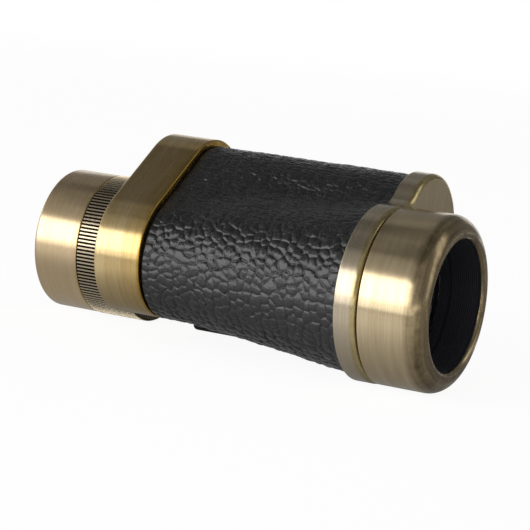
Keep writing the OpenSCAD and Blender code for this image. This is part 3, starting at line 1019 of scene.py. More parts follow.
@dataclass
class Eyepiece:
    """Sleeve, eyecup and lenses that slide when the ring is turned.

    The cup's steps are points of its mouth: the distance from the rear end, the drop
    below its outside and the rounding. Distances from the sleeve's front edge are the
    flat lines, which keep its shading even, and the two ends of the shine, the zone in
    which its scratches are buffed away.
    """

    sleeve_r: float = 17.4
    rear_x: float = -43.0
    front_x: float = -30.45
    wall: float = 1.8
    hub_r: float = 11.05
    floor_x: float = -33.6
    rim_round: float = 1.0
    mouth: float = 0.4
    mouth_rounds: tuple = (0.2, 0.25)
    front_round: float = 0.2
    flat_lines: tuple = (1.2, 0.6)
    shine: tuple = (0.4, 0.1)
    cup_gap: float = 0.05
    cup_lap: float = 0.1
    bore_r: float = 8.93
    bore_edge: float = 0.6
    cup_floor_x: float = -39.6
    cup_steps: tuple = (
        (0.4, 0.0, 0.1),
        (0.2, 0.4, 0.2),
        (0.8, 1.6, 0.4),
        (1.5, 3.0, 0.15),
        (1.8, 3.0, 0.1),
        (2.4, 4.6, 0.15),
        (2.6, 4.6, 0.1),
    )

    def build_sleeve(self, finishes: Finishes) -> bpy.types.Object:
        """Builds the brushed sleeve.

        Args:
            finishes: The finishes.

        Returns:
            The new piece.
        """
        r, bore, front = self.sleeve_r, self.sleeve_r - self.wall, self.front_x
        line = rounded(
            [
                (self.floor_x, bore, 0),
                (self.rear_x + self.mouth, bore, self.mouth_rounds[0]),
                (self.rear_x, bore + self.mouth, self.mouth_rounds[1]),
                (self.rear_x, r, self.rim_round),
                *[(front - back, r, 0) for back in self.flat_lines],
                (front, r, self.front_round),
                (front, self.hub_r, 0),
                (self.floor_x, self.hub_r, 0),
                (self.floor_x, bore, 0),
            ]
        )
        points = np.array(line)
        outside = points[:, 1] > r - self.wall / 2
        polish = ease(points[:, 0], front - self.shine[0], front - self.shine[1]) * outside
        piece = Turning("sleeve", AXES.eyepiece, line, 256)
        obj = piece.build([finishes.sleeve], polish=polish)
        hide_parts("eyepiece_sleeve")
        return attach(obj, "eyepiece")

    def build_cup(self, finishes: Finishes) -> bpy.types.Object:
        """Builds the black eyecup with its steps.

        Args:
            finishes: The finishes.

        Returns:
            The new piece.
        """
        outer = self.sleeve_r - self.wall - self.cup_gap
        front = self.floor_x - self.cup_lap
        steps = [(self.rear_x + along, outer - drop, radius) for along, drop, radius in self.cup_steps]
        line = rounded(
            [
                (front, outer, 0),
                *steps,
                (self.cup_floor_x - self.bore_edge, self.bore_r, 0.2),
                (self.cup_floor_x, self.bore_r - self.bore_edge, 0.1),
                (self.cup_floor_x, self.hub_r, 0),
                (front, self.hub_r, 0),
                (front, outer, 0),
            ]
        )
        obj = Turning("eyecup", AXES.eyepiece, line, 192).build([finishes.cup])
        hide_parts("eyecup_insert")
        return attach(obj, "eyepiece")

    def dress(self, nodes: dict, finishes: Finishes) -> None:
        """Dresses the eyepiece's inner CAD pieces.

        Args:
            nodes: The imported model's objects by name.
            finishes: The finishes.
        """
        dress(nodes, ["lens_carriage"], finishes.inner)
        dress(nodes, ["drive_pins"], finishes.steel)
        dress(nodes, ["field_stop", "lens_spacer", "eyepiece_retainer"], finishes.black)
        dress(nodes, ["field_lens", "eye_flint_lens", "eye_crown_lens"], finishes.glass)


@dataclass
class FocusRing:
    """Knurled ring that is turned to focus.

    Its rims are lines round it, from the end inwards or outwards: the distance from
    the end, the drop below the teeth's tops, the share of the knurl's depth that is
    cut there, and the strength of the painted shade there. The grooves between the
    teeth and the bore are darkened as painted shade too. The tooth's steps are shares
    of the pitch.
    """

    outer_r: float = 17.5
    rear_x: float = -30.3
    length: float = 13.3
    teeth: int = 120
    tooth_steps: tuple = (0.0, 0.1, 0.19, 0.24, 0.29, 0.4, 0.5, 0.6, 0.71, 0.76, 0.81, 0.9)
    depth: float = 0.5
    flat_share: float = 0.42
    slope_share: float = 0.2
    bore_r: float = 13.05
    recess_r: float = 15.5
    recess: float = 2.2
    # Strength of the painted shade in the bore and recess, and in the grooves between the teeth.
    bore_shade: float = 0.5
    groove_shade: float = 3.0
    rear_rim: tuple = (
        (0.0, 0.6, 0.0, 0.6),
        (0.0, 0.45, 0.3, 1.0),
        (0.05, 0.18, 0.7, 0.8),
        (0.2, 0.0, 1.0, 0.0),
    )
    front_rim: tuple = (
        (0.2, 0.0, 1.0, 0.0),
        (0.05, 0.18, 0.7, 0.8),
        (0.0, 0.45, 0.3, 0.8),
        (0.0, 0.6, 0.0, 0.6),
    )

    def tooth_radius(self, angle: np.ndarray) -> np.ndarray:
        """Share of the knurl's depth that is cut away at each angle round the ring.

        Args:
            angle: The angles in radians.

        Returns:
            Shares from 0 on a tooth to 1 in a groove.
        """
        phase = (angle * self.teeth / (2 * math.pi)) % 1.0
        off = np.abs(phase - 0.5) * 2
        return np.clip((off - self.flat_share) / self.slope_share, 0, 1)

    def stations(self) -> list[tuple[float, float, float, float]]:
        """The lines round the ring, from its bore at the rear over the teeth and back.

        Returns:
            Each line's place along the body, radius, cut share and painted shade.
        """
        r, rear, front = self.outer_r, self.rear_x, self.rear_x + self.length
        floor = (rear + self.recess, self.bore_r, 0.0, self.bore_shade)
        lines = [floor, (rear + self.recess, self.recess_r, 0.0, self.bore_shade)]
        lines += [(rear, self.recess_r, 0.0, self.bore_shade)]
        lines += [(rear + along, r - drop, cut, rim_shade) for along, drop, cut, rim_shade in self.rear_rim]
        lines += [(front - along, r - drop, cut, rim_shade) for along, drop, cut, rim_shade in self.front_rim]
        return [*lines, (front, self.bore_r, 0.0, self.bore_shade), floor]

    def build(self, finishes: Finishes) -> bpy.types.Object:
        """Builds the knurled ring.

        Args:
            finishes: The finishes.

        Returns:
            The new piece.
        """
        per_tooth = np.array(self.tooth_steps)
        places = (np.arange(self.teeth)[:, None] + per_tooth[None, :]).ravel()
        angle = places * 2 * math.pi / self.teeth
        cut = self.tooth_radius(angle)
        stations = np.array(self.stations())
        radius = stations[:, 1, None] - self.depth * cut * stations[:, 2, None]
        rings = np.zeros((len(stations), len(angle), 3))
        rings[..., 0] = stations[:, 0, None]
        rings[..., 1] = AXES.eyepiece[0] + radius * np.cos(angle)
        rings[..., 2] = AXES.eyepiece[1] + radius * np.sin(angle)
        uvs = np.zeros((len(stations), len(angle), 2))
        uvs[..., 0] = angle * self.outer_r
        uvs[..., 1] = rings[..., 0]
        # Painted shade: grooves, rims and bore are darkened through the crease value.
        dark = np.maximum(np.clip(cut * self.groove_shade, 0, 1)[None, :], stations[:, 3, None])
        values = {CREASE_NAME: dark}
        obj = link_skin("knurled_ring", rings, [finishes.knurl], uvs, sharp_deg=24.0, values=values)
        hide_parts("focus_ring")
        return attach(obj, "focusing_ring")


@dataclass
class RearCap:
    """Brass cap over the rear prism, with its screws.

    Its rim is buffed, and a weaker glow of the same buffing reaches further back. Both
    are zones along the body.
    """

    rear_x: float = -12.2
    wall: float = 1.8
    rear_round: float = 0.5
    rim: float = 0.25
    rim_step: float = 0.2
    lining_x: float = -6.0
    rim_zone: tuple = (-0.7, -0.2)
    glow_zone: tuple = (-6.5, -0.8)
    glow: float = 0.45
    spigot_hole_r: float = 12.05
    screw_hole_r: float = 1.4
    screw_seat_r: float = 0.9
    screw_depth: float = 0.9
    screw_sunk: float = 0.05
    screw_turns: tuple = (25, 95, 165)
    screw_places: tuple = ((0.0, -10.2), (-10.1612, 0.889), (15.6541, 24.2627))

    def build_shell(self, finishes: Finishes) -> bpy.types.Object:
        """Builds the cap's side wall, rim and rear plate.

        Args:
            finishes: The finishes.

        Returns:
            The new piece.
        """
        outline = CapOutline()
        a = self.rear_round
        stations = [
            (self.rear_x + a * (1 - math.cos(t)), a * (1 - math.sin(t)))
            for t in np.linspace(0, QUARTER_TURN, 7)
        ]
        stations += [(x, 0.0) for x in np.linspace(self.rear_x + 1.2, -self.rim - 0.4, 8)]
        stations += [
            (-self.rim + self.rim * math.sin(t), self.rim * (1 - math.cos(t)))
            for t in np.linspace(0, QUARTER_TURN, 6)
        ]
        inner_from = len(stations)
        stations += [(0.0, self.wall - self.rim_step), (-self.rim_step, self.wall)]
        stations += [(self.lining_x, self.wall)]
        rings, uvs = outline.skin(stations)
        index = np.zeros(len(stations) - 1, np.int32)
        index[inner_from:] = 1
        xs = [x for x, _ in stations]
        polish = self.glow * ease(xs, *self.glow_zone) + (1 - self.glow) * ease(xs, *self.rim_zone)
        mats = [finishes.cap, finishes.black]
        shell = link_skin("cap_shell", rings, mats, uvs, index, values={POLISH_NAME: polish})
        outer = outline.ring(self.rear_x, a)[:, 1:]
        holes = [circle(AXES.eyepiece, self.spigot_hole_r)]
        holes += [circle(p, self.screw_hole_r, 48) for p in self.screw_places]
        back = plate("cap_plate", outer, holes, self.rear_x, [finishes.cap], Facing.REAR)
        floor_x = self.rear_x + self.screw_depth
        well = [(self.rear_x, self.screw_hole_r), (floor_x, self.screw_hole_r)]
        well += [(floor_x, self.screw_seat_r)]
        wells = [
            Turning(f"cap_well_{i}", p, well, 48).build([finishes.cap])
            for i, p in enumerate(self.screw_places)
        ]
        obj = joined("cap", [shell, back, *wells])
        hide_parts("rear_cap")
        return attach(obj, "housing")

    def build_screws(self, finishes: Finishes) -> bpy.types.Object:
        """Builds the slotted screws in the cap's rear plate, each turned differently.

        Args:
            finishes: The finishes.

        Returns:
            The new piece.
        """
        screw, x = SlottedScrew(), self.rear_x + self.screw_sunk
        parts = [
            screw.build(f"cap_screw_{i}", p, x, Facing.REAR, finishes.inner, turn)
            for i, (p, turn) in enumerate(zip(self.screw_places, self.screw_turns))
        ]
        obj = joined("cap_screws", parts)
        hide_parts("rear_cap_screws")
        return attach(obj, "housing")


@dataclass(frozen=True)
class SlottedScrew:
    """A small domed screw with a slot, as a head and a plain shank.

    The head's rings lie closer together where the slot's walls and ends are.
    """

    head_r: float = 1.25
    head_t: float = 0.8
    dome: float = 0.1
    edge: float = 0.12
    slot_width: float = 0.32
    slot_depth: float = 0.4
    slot_slope: float = 0.06
    slot_lip: float = 0.05
    shank_r: float = 0.85
    shank: float = 6.0
    count: int = 48
    head_rings: tuple = (0.0, 0.15, 0.17, 0.3, 0.5, 0.8, 1.05, 1.18, 1.25)

    def build(
        self,
        name: str,
        centre: tuple,
        x: float,
        facing: Facing,
        mat: bpy.types.Material,
        turn_deg: float,
    ) -> bpy.types.Object:
        """Builds one screw.

        Args:
            name: Name of the object.
            centre: Its axis as y and z.
            x: Station of the head's outer face.
            facing: Which way the head looks.
            mat: Its material.
            turn_deg: Turn of the slot.

        Returns:
            The new object.
        """
        angle = np.linspace(0, 2 * math.pi, self.count, endpoint=False)
        radii = np.array([*self.head_rings, self.head_r, self.shank_r, self.shank_r])
        head = radii[: len(self.head_rings), None]
        across = np.abs(head * np.sin(angle - math.radians(turn_deg)))
        wall = self.slot_width / 2 + self.slot_lip
        height = self.dome * (1 - (head / self.head_r) ** 2) - self.dome
        height = height - self.slot_depth * np.clip((wall - across) / self.slot_slope, 0, 1)
        height[-1] -= self.edge
        below = np.array([self.head_t, self.head_t, self.shank])
        height = np.concatenate([height, np.repeat(-below[:, None], self.count, axis=1)])
        rings = np.zeros((len(radii), self.count, 3))
        rings[..., 0] = x + facing.value * height
        rings[..., 1] = centre[0] + radii[:, None] * np.cos(angle)
        rings[..., 2] = centre[1] + radii[:, None] * np.sin(angle)
        return link_skin(name, rings, [mat], rings[..., 1:], flip=facing is Facing.FRONT)


@dataclass
class PebbleField:
    """Height of embossed pebbles over a surface, from scattered cells of different sizes.

    The surface is width round, where the pattern repeats, and length along, both in
    millimetres, and cell is a pebble's mean size round it and along it. The shares
    are of a cell, apart from level and tilt, which change a pebble's height. Pebbles
    of the same clan run together, with only a weak crease between them. The margin
    is the number of spare cells at each end.
    """

    width: float
    length: float
    cell: tuple[float, float]
    seed: int
    jitter_share: float = 0.36
    brick_share: float = 0.25
    reach_share: float = 0.17
    level_share: float = 0.2
    tilt_share: float = 0.36
    clans: int = 10
    margin: int = 3
    base: float = 0.78
    dome: float = 0.3
    crease_strength: tuple[float, float] = (0.8, 0.2)
    corner_strength: float = 0.35
    deepest: float = 1.1
    lone_level: float = 0.1

    def __post_init__(self) -> None:
        """Scatters one seed point in each cell of a grid."""
        rng = np.random.default_rng(self.seed)
        self.nu = max(int(round(self.width / self.cell[0])), 3)
        self.nv = int(math.ceil(self.length / self.cell[1])) + 2 * self.margin
        self.cell = (self.width / self.nu, self.cell[1])
        grid, brick = (self.nu, self.nv), self.brick_share
        self.jitter = rng.uniform(-self.jitter_share, self.jitter_share, (*grid, 2))
        self.jitter[..., 0] += np.where(np.arange(self.nv) % 2, brick, -brick)[None, :]
        self.reach = rng.uniform(-self.reach_share, self.reach_share, grid)
        self.level = rng.uniform(-self.level_share, self.level_share, grid)
        self.tilt = rng.normal(0, self.tilt_share, (*grid, 2))
        self.clan = rng.integers(0, self.clans, grid)

    def sample(self, u: np.ndarray, v: np.ndarray, crease_mm: float = 0.3) -> tuple:
        """Height and crease strength at surface places.

        Args:
            u: Place round the surface in millimetres.
            v: Place along it.
            crease_mm: Distance over which a pebble's edge falls into the crease.

        Returns:
            The height, about 1 on most pebbles and near 0 in the creases, the crease's
            strength from 0 to about 1, and its depth round a few lone pebbles only.
        """
        gu, gv = u / self.cell[0], v / self.cell[1] + self.margin
        iu, iv = np.floor(gu).astype(int), np.floor(gv).astype(int)
        best, second, third = (np.full(u.shape, 1e9) for _ in range(3))
        near_id, next_id = (np.zeros(u.shape + (2,), int) for _ in range(2))
        offset = np.zeros(u.shape + (2,))
        for du in range(-2, 3):
            for dv in range(-2, 3):
                cu, cv = (iu + du) % self.nu, np.clip(iv + dv, 0, self.nv - 1)
                here = np.stack([cu, cv], axis=-1)
                seed_u = iu + du + 0.5 + self.jitter[cu, cv, 0]
                seed_v = iv + dv + 0.5 + self.jitter[cu, cv, 1]
                ou, ov = gu - seed_u, gv - seed_v
                dist = np.hypot(ou, ov) - self.reach[cu, cv]
                closer = dist < best
                middle = ~closer & (dist < second)
                third = np.where(closer | middle, second, np.minimum(third, dist))
                second = np.where(closer, best, np.where(middle, dist, second))
                next_id[closer] = near_id[closer]
                next_id[middle] = here[middle]
                near_id[closer] = here[closer]
                offset[closer] = np.stack([ou, ov], axis=-1)[closer]
                best = np.where(closer, dist, best)
        gap = (second - best) / 2 * min(self.cell)
        corner_gap = (third - best) / 2 * min(self.cell)
        a, b = near_id[..., 0], near_id[..., 1]
        same = self.clan[a, b] == self.clan[next_id[..., 0], next_id[..., 1]]
        strong, weak = self.crease_strength
        crease = np.exp(-gap / crease_mm) * np.where(same, weak, strong)
        crease = crease + self.corner_strength * np.exp(-corner_gap / crease_mm)
        crease = np.clip(crease, 0, self.deepest)
        dome = self.dome * (1 - np.hypot(offset[..., 0], offset[..., 1]) ** 2)
        lone = crease * (self.level[a, b] > self.lone_level)
        tilt = self.tilt[a, b, 0] * offset[..., 0] + self.tilt[a, b, 1] * offset[..., 1]
        return self.base + self.level[a, b] + dome + tilt - crease, crease**4, lone


@dataclass(frozen=True)
class SoftNoise:
    """Smooth noise over a surface that repeats round it.

    Its strength is the most that it adds, and its size that of its features in
    millimetres. Its table has spare cells along the surface, lead of them before it.
    """

    strength: float
    size: float
    seed: int
    spare: int = 8
    lead: int = 2

    def sample(self, u: np.ndarray, v: np.ndarray, width: float) -> np.ndarray:
        """The noise at surface places.

        Args:
            u: Place round the surface in millimetres.
            v: Place along it.
            width: Distance round the surface.

        Returns:
            Values up to about the strength on both sides of 0.
        """
        rng = np.random.default_rng(self.seed)
        nu = max(int(round(width / self.size)), 2)
        nv = int(np.ptp(v) / self.size) + self.spare
        table = rng.uniform(-1, 1, (nu, nv))
        gu, gv = u / width * nu, (v - v.min()) / self.size + self.lead
        iu, iv = np.floor(gu).astype(int), np.floor(gv).astype(int)
        fu, fv = gu - iu, gv - iv
        fu, fv = fu * fu * (3 - 2 * fu), fv * fv * (3 - 2 * fv)
        c00, c10 = table[iu % nu, iv], table[(iu + 1) % nu, iv]
        c01, c11 = table[iu % nu, iv + 1], table[(iu + 1) % nu, iv + 1]
        return self.strength * (
            (c00 * (1 - fu) + c10 * fu) * (1 - fv) + (c01 * (1 - fu) + c11 * fu) * fv
        )


@dataclass
class LeatherCover:
    """Pebbled leather round the body.

    Over the shoulder, above the heights in stretch_zone, the leather is drawn tight:
    there the pebbles give way to low folds and a few lone pebbles.
    """

    start: float = 0.35
    end: float = 52.7
    step: float = 0.16
    key_count: int = 32
    round_count: int = 960
    girth: float = 152.0
    pebble_mm: float = 2.2
    fold_mm: tuple = (1.1, 3.4)
    fold_crease_mm: float = 0.22
    height: float = 0.31
    edge_mm: float = 0.5
    thickness: float = 1.0
    seed: int = 11
    warp_round: tuple = (SoftNoise(0.3, 3.1, 5), SoftNoise(0.08, 0.9, 6))
    warp_along: tuple = (SoftNoise(0.3, 3.3, 7), SoftNoise(0.08, 1.0, 8))
    stretch_edge: SoftNoise = SoftNoise(2.2, 6.0, 12)
    stretch_zone: tuple = (7.0, 14.0)
    swell: SoftNoise = SoftNoise(0.12, 7.0, 9)
    wrinkle: SoftNoise = SoftNoise(0.1, 0.6, 10)
    tight_pebbles: float = 0.2
    tight_folds: float = 0.95
    tight_lone: float = 0.8
    tight_share: float = 0.6
    tight_crease: float = 0.5

    def relief(self, u: np.ndarray, v: np.ndarray, z: np.ndarray) -> tuple[np.ndarray, np.ndarray]:
        """The leather's height over its smooth form, and its creases.

        Args:
            u: Place round the body in millimetres.
            v: Place along it.
            z: Height in the body's axes.

        Returns:
            The height in millimetres, and the crease's strength from 0 to about 1.
        """
        width = self.girth
        warp_u, warp_v = (
            sum(noise.sample(u, v, width) for noise in layers)
            for layers in (self.warp_round, self.warp_along)
        )
        around, along = (u + warp_u) % width, v + warp_v
        pebbles = PebbleField(width, self.end, (self.pebble_mm, self.pebble_mm), self.seed)
        high, crease, lone = pebbles.sample(around, along)
        folds = PebbleField(width, self.end, self.fold_mm, self.seed + 1)
        fold_high, fold_crease, _ = folds.sample(around, along, self.fold_crease_mm)
        tight = ease(z + self.stretch_edge.sample(u, v, width), *self.stretch_zone)
        low = self.tight_pebbles * high + self.tight_folds * fold_high - self.tight_lone * lone
        low = 1 - self.tight_share + self.tight_share * low
        high = high * (1 - tight) + low * tight
        crease = crease * (1 - tight) + self.tight_crease * fold_crease * tight
        fine = (high - 1.0 + self.wrinkle.sample(u, v, width)) * self.height
        height = fine + self.swell.sample(u, v, width)
        edge = np.minimum(v - self.start, self.end - v)
        fade = np.clip(edge / self.edge_mm, 0, 1)
        roll = self.thickness * 0.5 * (1 - np.sqrt(1 - (1 - fade) ** 2))
        return height * fade - roll, crease

    def build(self, finishes: Finishes) -> bpy.types.Object:
        """Builds the leather with its pebbles in the mesh.

        Args:
            finishes: The finishes.

        Returns:
            The new piece.
        """
        outline = BodyOutline(count=self.round_count)
        xs = np.linspace(self.start, self.end, int((self.end - self.start) / self.step))
        keys = np.linspace(self.start, self.end, self.key_count)
        key_rings = np.array([outline.ring(x) for x in keys])
        rings = np.empty((len(xs), self.round_count, 3))
        for axis in range(3):
            for j in range(self.round_count):
                rings[:, j, axis] = np.interp(xs, keys, key_rings[:, j, axis])
        around = np.roll(rings, -1, axis=1) - np.roll(rings, 1, axis=1)
        normal = np.stack([np.zeros(rings.shape[:2]), around[..., 2], -around[..., 1]], axis=-1)
        normal /= np.linalg.norm(normal, axis=-1, keepdims=True)
        u = np.tile(np.arange(self.round_count) * self.girth / self.round_count, (len(xs), 1))
        v = np.tile(xs[:, None], (1, self.round_count))
        height, crease = self.relief(u, v, rings[..., 2])
        outside = rings + normal * height[..., None]
        hems = [(rings[i] - normal[i] * self.thickness)[None] for i in (0, -1)]
        shell = np.concatenate([hems[0], outside, hems[1]])
        u, v, crease = (np.pad(value, ((1, 1), (0, 0)), "edge") for value in (u, v, crease))
        # The crease value also darkens the creases in the material, as painted shade.
        uvs, values = np.stack([u, v], axis=-1), {CREASE_NAME: crease}
        mats = [finishes.leather]
        obj = link_skin("pebbled_leather", shell, mats, uvs, sharp_deg=80.0, values=values)
        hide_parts("leather_cover")
        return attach(obj, "housing")


@dataclass
class FrontFrame:
    """Brass frame at the front of the body, with its soft golden edge.

    The shine is the zone round the start of that edge in which its scratches are
    buffed away.
    """

    rear_x: float = 52.8
    front_x: float = 58.2
    edge_r: float = 1.2
    rear_edge_r: float = 0.25
    wall: float = 1.5
    lap: float = 1.0
    neck_hole_r: float = 17.7
    shine: tuple = (-0.5, 0.3)

    def build(self, finishes: Finishes) -> bpy.types.Object:
        """Builds the frame's band, its rounded edge and its front face.

        Args:
            finishes: The finishes.

        Returns:
            The new piece.
        """
        outline = FrameOutline()
        rear, small, edge = self.rear_x, self.rear_edge_r, self.edge_r
        band_end = self.front_x - edge
        stations = [(rear + self.lap, self.wall), (rear, self.wall), (rear, small)]
        stations += [(rear + small * (1 - math.cos(t)), small * (1 - math.sin(t))) for t in (0.5, 1.0)]
        stations += [(rear + 0.3, 0.0)]
        stations += [(x, 0.0) for x in np.linspace(rear + 0.5, band_end - 0.1, 9)]
        stations += [
            (self.front_x - edge + edge * math.sin(t), edge * (1 - math.cos(t)))
            for t in np.linspace(0, QUARTER_TURN, 11)
        ]
        rings, uvs = outline.skin(stations)
        polish = ease([x for x, _ in stations], *(band_end + end for end in self.shine))
        values = {POLISH_NAME: polish}
        band = link_skin("frame_band", rings, [finishes.band], uvs, sharp_deg=40.0, values=values)
        outer = outline.ring(self.front_x, edge)[:, 1:]
        hole = circle(AXES.objective, self.neck_hole_r, 192)
        face = plate("frame_face", outer, [hole], self.front_x, [finishes.ring], Facing.FRONT)
        obj = joined("frame", [band, face])
        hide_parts("front_frame")
        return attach(obj, "housing")


@dataclass
class ObjectiveRing:
    """Brass ring round the objective, with its rolled lip and black inside.

    The bore's fine grooves, which kill stray light, are steps of the thread's pitch,
    each with the gap that it leaves to the bore. The flat lines lie before the lip's
    start and keep the shading even, and the shine is the zone there in which the
    scratches are buffed away.
    """

    outer_r: float = 20.2
    rear_x: float = 58.5
    lip_x: float = 73.8
    lip_r: float = 4.2
    hood_r: float = 15.0
    shoulder_x: float = 65.8
    neck_r: float = 17.6
    neck_x: float = 56.7
    cell_hole_r: float = 16.6
    bore_gap: float = 0.02
    pitch: float = 0.5
    thread: tuple = ((0.0, 0.02), (0.3, 0.12), (0.6, 0.12), (0.9, 0.02))
    rear_round: float = 0.25
    flat_lines: tuple = (0.8, 0.4)
    shine: tuple = (-0.6, 1.4)

    def build(self, finishes: Finishes) -> bpy.types.Object:
        """Builds the ring, its lip and its dark bore.

        Args:
            finishes: The finishes.

        Returns:
            The new piece.
        """
        crest = self.outer_r - self.lip_r
        start = self.lip_x - self.lip_r
        outer = rounded(
            [
                (self.neck_x, self.cell_hole_r, 0),
                (self.neck_x, self.neck_r, 0),
                (self.rear_x, self.neck_r, 0),
                (self.rear_x, self.outer_r, self.rear_round),
                *[(start - back, self.outer_r, 0) for back in self.flat_lines],
            ]
        )
        lip = [
            (start + self.lip_r * math.sin(t), crest + self.lip_r * math.cos(t))
            for t in np.linspace(0.02, QUARTER_TURN, 18)
        ]
        inner_r = crest - self.hood_r
        inside = [
            (self.lip_x - inner_r * (1 - math.cos(t)), crest - inner_r * math.sin(t))
            for t in np.linspace(0.2, QUARTER_TURN, 8)
        ]
        grooves = []
        x = self.lip_x - inner_r - 0.4
        while x > self.shoulder_x + self.pitch:
            grooves += [(x - share * self.pitch, self.hood_r + gap) for share, gap in self.thread]
            x -= self.pitch
        bore = [(self.shoulder_x, self.hood_r + self.bore_gap), (self.shoulder_x, self.cell_hole_r)]
        line = outer + lip + inside + grooves + bore
        black_from = len(outer) + len(lip) + len(inside) - 2
        polish = ease([x for x, _ in line], *(start + end for end in self.shine))
        piece = Turning("objective_hood", AXES.objective, line, 256)
        obj = piece.build([finishes.ring, finishes.black], {1: black_from}, polish)
        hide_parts("objective_ring")
        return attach(obj, "housing")

    def dress(self, nodes: dict, finishes: Finishes) -> None:
        """Dresses the objective's inner CAD pieces.

        Args:
            nodes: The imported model's objects by name.
            finishes: The finishes.
        """
        dress(nodes, ["objective_seal"], finishes.rubber)
        dress(nodes, ["objective_cell", "objective_retainer"], finishes.black)
        dress(nodes, ["objective_crown_lens", "objective_flint_lens"], finishes.front_glass)


@dataclass
class TripodSocket:
    """Black pad under the body with the brass bush for the tripod screw.

    The thread's steps are shares of its pitch, each with the share of its depth that
    is cut there.
    """

    x0: float = 0.9
    length: float = 22.0
    y0: float = 13.8
    width: float = 11.6
    low: float = -16.2
    top: float = -12.0
    corner: float = 1.6
    least_corner: float = 0.3
    edge: float = 1.2
    corner_count: int = 12
    bush_r: float = 4.6
    bush_h: float = 5.2
    hole_r: float = 2.6
    hole_depth: float = 4.6
    pitch: float = 1.27
    thread_depth: float = 0.35
    thread: tuple = ((0.15, 0), (0.5, 1), (0.85, 0), (1.0, 0))

    @property
    def middle(self) -> tuple[float, float]:
        """The pad's middle along and across the body."""
        return self.x0 + self.length / 2, self.y0 + self.width / 2

    def outline(self, inset: float) -> Points:
        """Rounded rectangle, drawn in.

        Args:
            inset: How far it is drawn in.

        Returns:
            Its points as x and y.
        """
        r = max(self.corner - inset, self.least_corner)
        half = np.array([self.length / 2 - inset - r, self.width / 2 - inset - r])
        points = []
        for quarter, (sx, sy) in enumerate(((1, 1), (-1, 1), (-1, -1), (1, -1))):
            for t in np.linspace(0, QUARTER_TURN, self.corner_count):
                a = t + quarter * QUARTER_TURN
                points.append((half[0] * sx + r * math.cos(a), half[1] * sy + r * math.sin(a)))
        return np.array(points) + np.array(self.middle)

    def build_pad(self, finishes: Finishes) -> bpy.types.Object:
        """Builds the pad with rounded corners and a hole for the bush.

        Args:
            finishes: The finishes.

        Returns:
            The new piece.
        """
        steps = [(self.top, 0.0), (self.low + 1.9, 0.0), (self.low + self.edge + 0.1, 0.0)]
        steps += [
            (self.low + self.edge * (1 - math.sin(t)), self.edge * (1 - math.cos(t)))
            for t in np.linspace(0, QUARTER_TURN, 8)
        ]
        lines = [(self.outline(inset), z) for z, inset in steps]
        centre = np.array(self.middle)
        inner = self.outline(self.edge) - centre
        way = inner / np.linalg.norm(inner, axis=1)[:, None]
        for share in (0.12, 0.3, 0.6, 0.85):
            flat = inner * (1 - share) * (1 - share) + way * self.bush_r * 1.1 * share
            lines.append((flat + centre, self.low))
        hole = self.bush_r + 0.05
        for r, z in ((hole + 0.1, self.low), (hole, self.low + 0.1), (hole, self.top)):
            lines.append((way * r + centre, z))
        skin = np.array([np.column_stack([line, np.full(len(line), z)]) for line, z in lines])
        obj = link_skin("pad", skin, [finishes.rubber], skin[..., :2])
        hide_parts("tripod_pad")
        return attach(obj, "housing")

    def build_bush(self, finishes: Finishes) -> bpy.types.Object:
        """Builds the bush with its screw thread drawn as fine grooves.

        Args:
            finishes: The finishes.

        Returns:
            The new piece.
        """
        low, r, hole_r, centre_r = self.low, self.bush_r, self.hole_r, 0.05
        mouth = low + 0.4
        line = [(low + self.bush_h, centre_r), (low + self.bush_h, r), (low + 0.2, r)]
        line += [(low, r - 0.2), (low, hole_r + self.thread_depth + 0.1), (mouth, hole_r + 0.02)]
        z = mouth
        while z + self.pitch < low + self.hole_depth:
            line += [(z + a * self.pitch, hole_r + cut * self.thread_depth) for a, cut in self.thread]
            z += self.pitch
        line += [(low + self.hole_depth, hole_r), (low + self.hole_depth, centre_r)]
        piece = Turning("bush", self.middle, line, 96, upright=True)
        obj = piece.build([finishes.inner])
        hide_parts("tripod_bush")
        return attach(obj, "housing")


@dataclass
class PrismBody:
    """Housing, prisms, shelves and screws: hidden or dark pieces."""

    painted: tuple = ("prism_housing", "rear_prism_shelf", "front_prism_shelf")
    glass: tuple = ("rear_prism", "front_prism")
    steel: tuple = ("rear_prism_clip", "front_prism_clip", "clip_screws", "shelf_screws")
    brass: tuple = ("eyepiece_mount", "eyepiece_nut", "focus_retainer")

    def dress(self, nodes: dict, finishes: Finishes) -> None:
        """Dresses the body's inner CAD pieces.

        Args:
            nodes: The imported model's objects by name.
            finishes: The finishes.
        """
        dress(nodes, self.painted, finishes.black)
        dress(nodes, self.glass, finishes.glass)
        dress(nodes, self.steel, finishes.steel)
        dress(nodes, self.brass, finishes.inner)


def dress(nodes: dict, names: list | tuple, mat: bpy.types.Material) -> None:
    """Gives CAD nodes a material.

    Args:
        nodes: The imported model's objects by name.
        names: The nodes to dress.
        mat: The material.
    """
    for name in names:
        mesh = nodes[name].data
        mesh.materials.clear()
        mesh.materials.append(mat)
        log.info("dressed %s in %s", name, mat.name)


# Studio


WHITE = (1, 1, 1, 1)


def grey(level: float) -> tuple[float, float, float, float]:
    """A neutral colour, where level 1 is white."""
    return level, level, level, 1


def add_shown(mat: bpy.types.ID) -> bpy.types.Node:
    """Adds a 1 for rays that show a surface to the eye, straight, mirrored or through glass.

    Args:
        mat: The material or world that holds the tree.

    Returns:
        The node whose result it is.
    """
    rays = add_node(mat, "LightPath")
    shown = rays.outputs["Is Camera Ray"]
    for kind in ("Is Glossy Ray", "Is Transmission Ray"):
        shown = add_node(mat, "Math", {"operation": "MAXIMUM"}, {0: shown, 1: rays.outputs[kind]})
    return shown


def stage_mesh(name: str, verts: list, faces: list, mat: bpy.types.Material) -> bpy.types.Object:
    """Adds a floor or card.

    Args:
        name: Name of the object.
        verts: Its points in metres.
        faces: Corner indices of each face.
        mat: Its material.

    Returns:
        The new object.
    """
    mesh = bpy.data.meshes.new(name)
    mesh.from_pydata(verts, [], faces)
    mesh.materials.append(mat)
    obj = bpy.data.objects.new(name, mesh)
    bpy.context.scene.collection.objects.link(obj)
    return obj


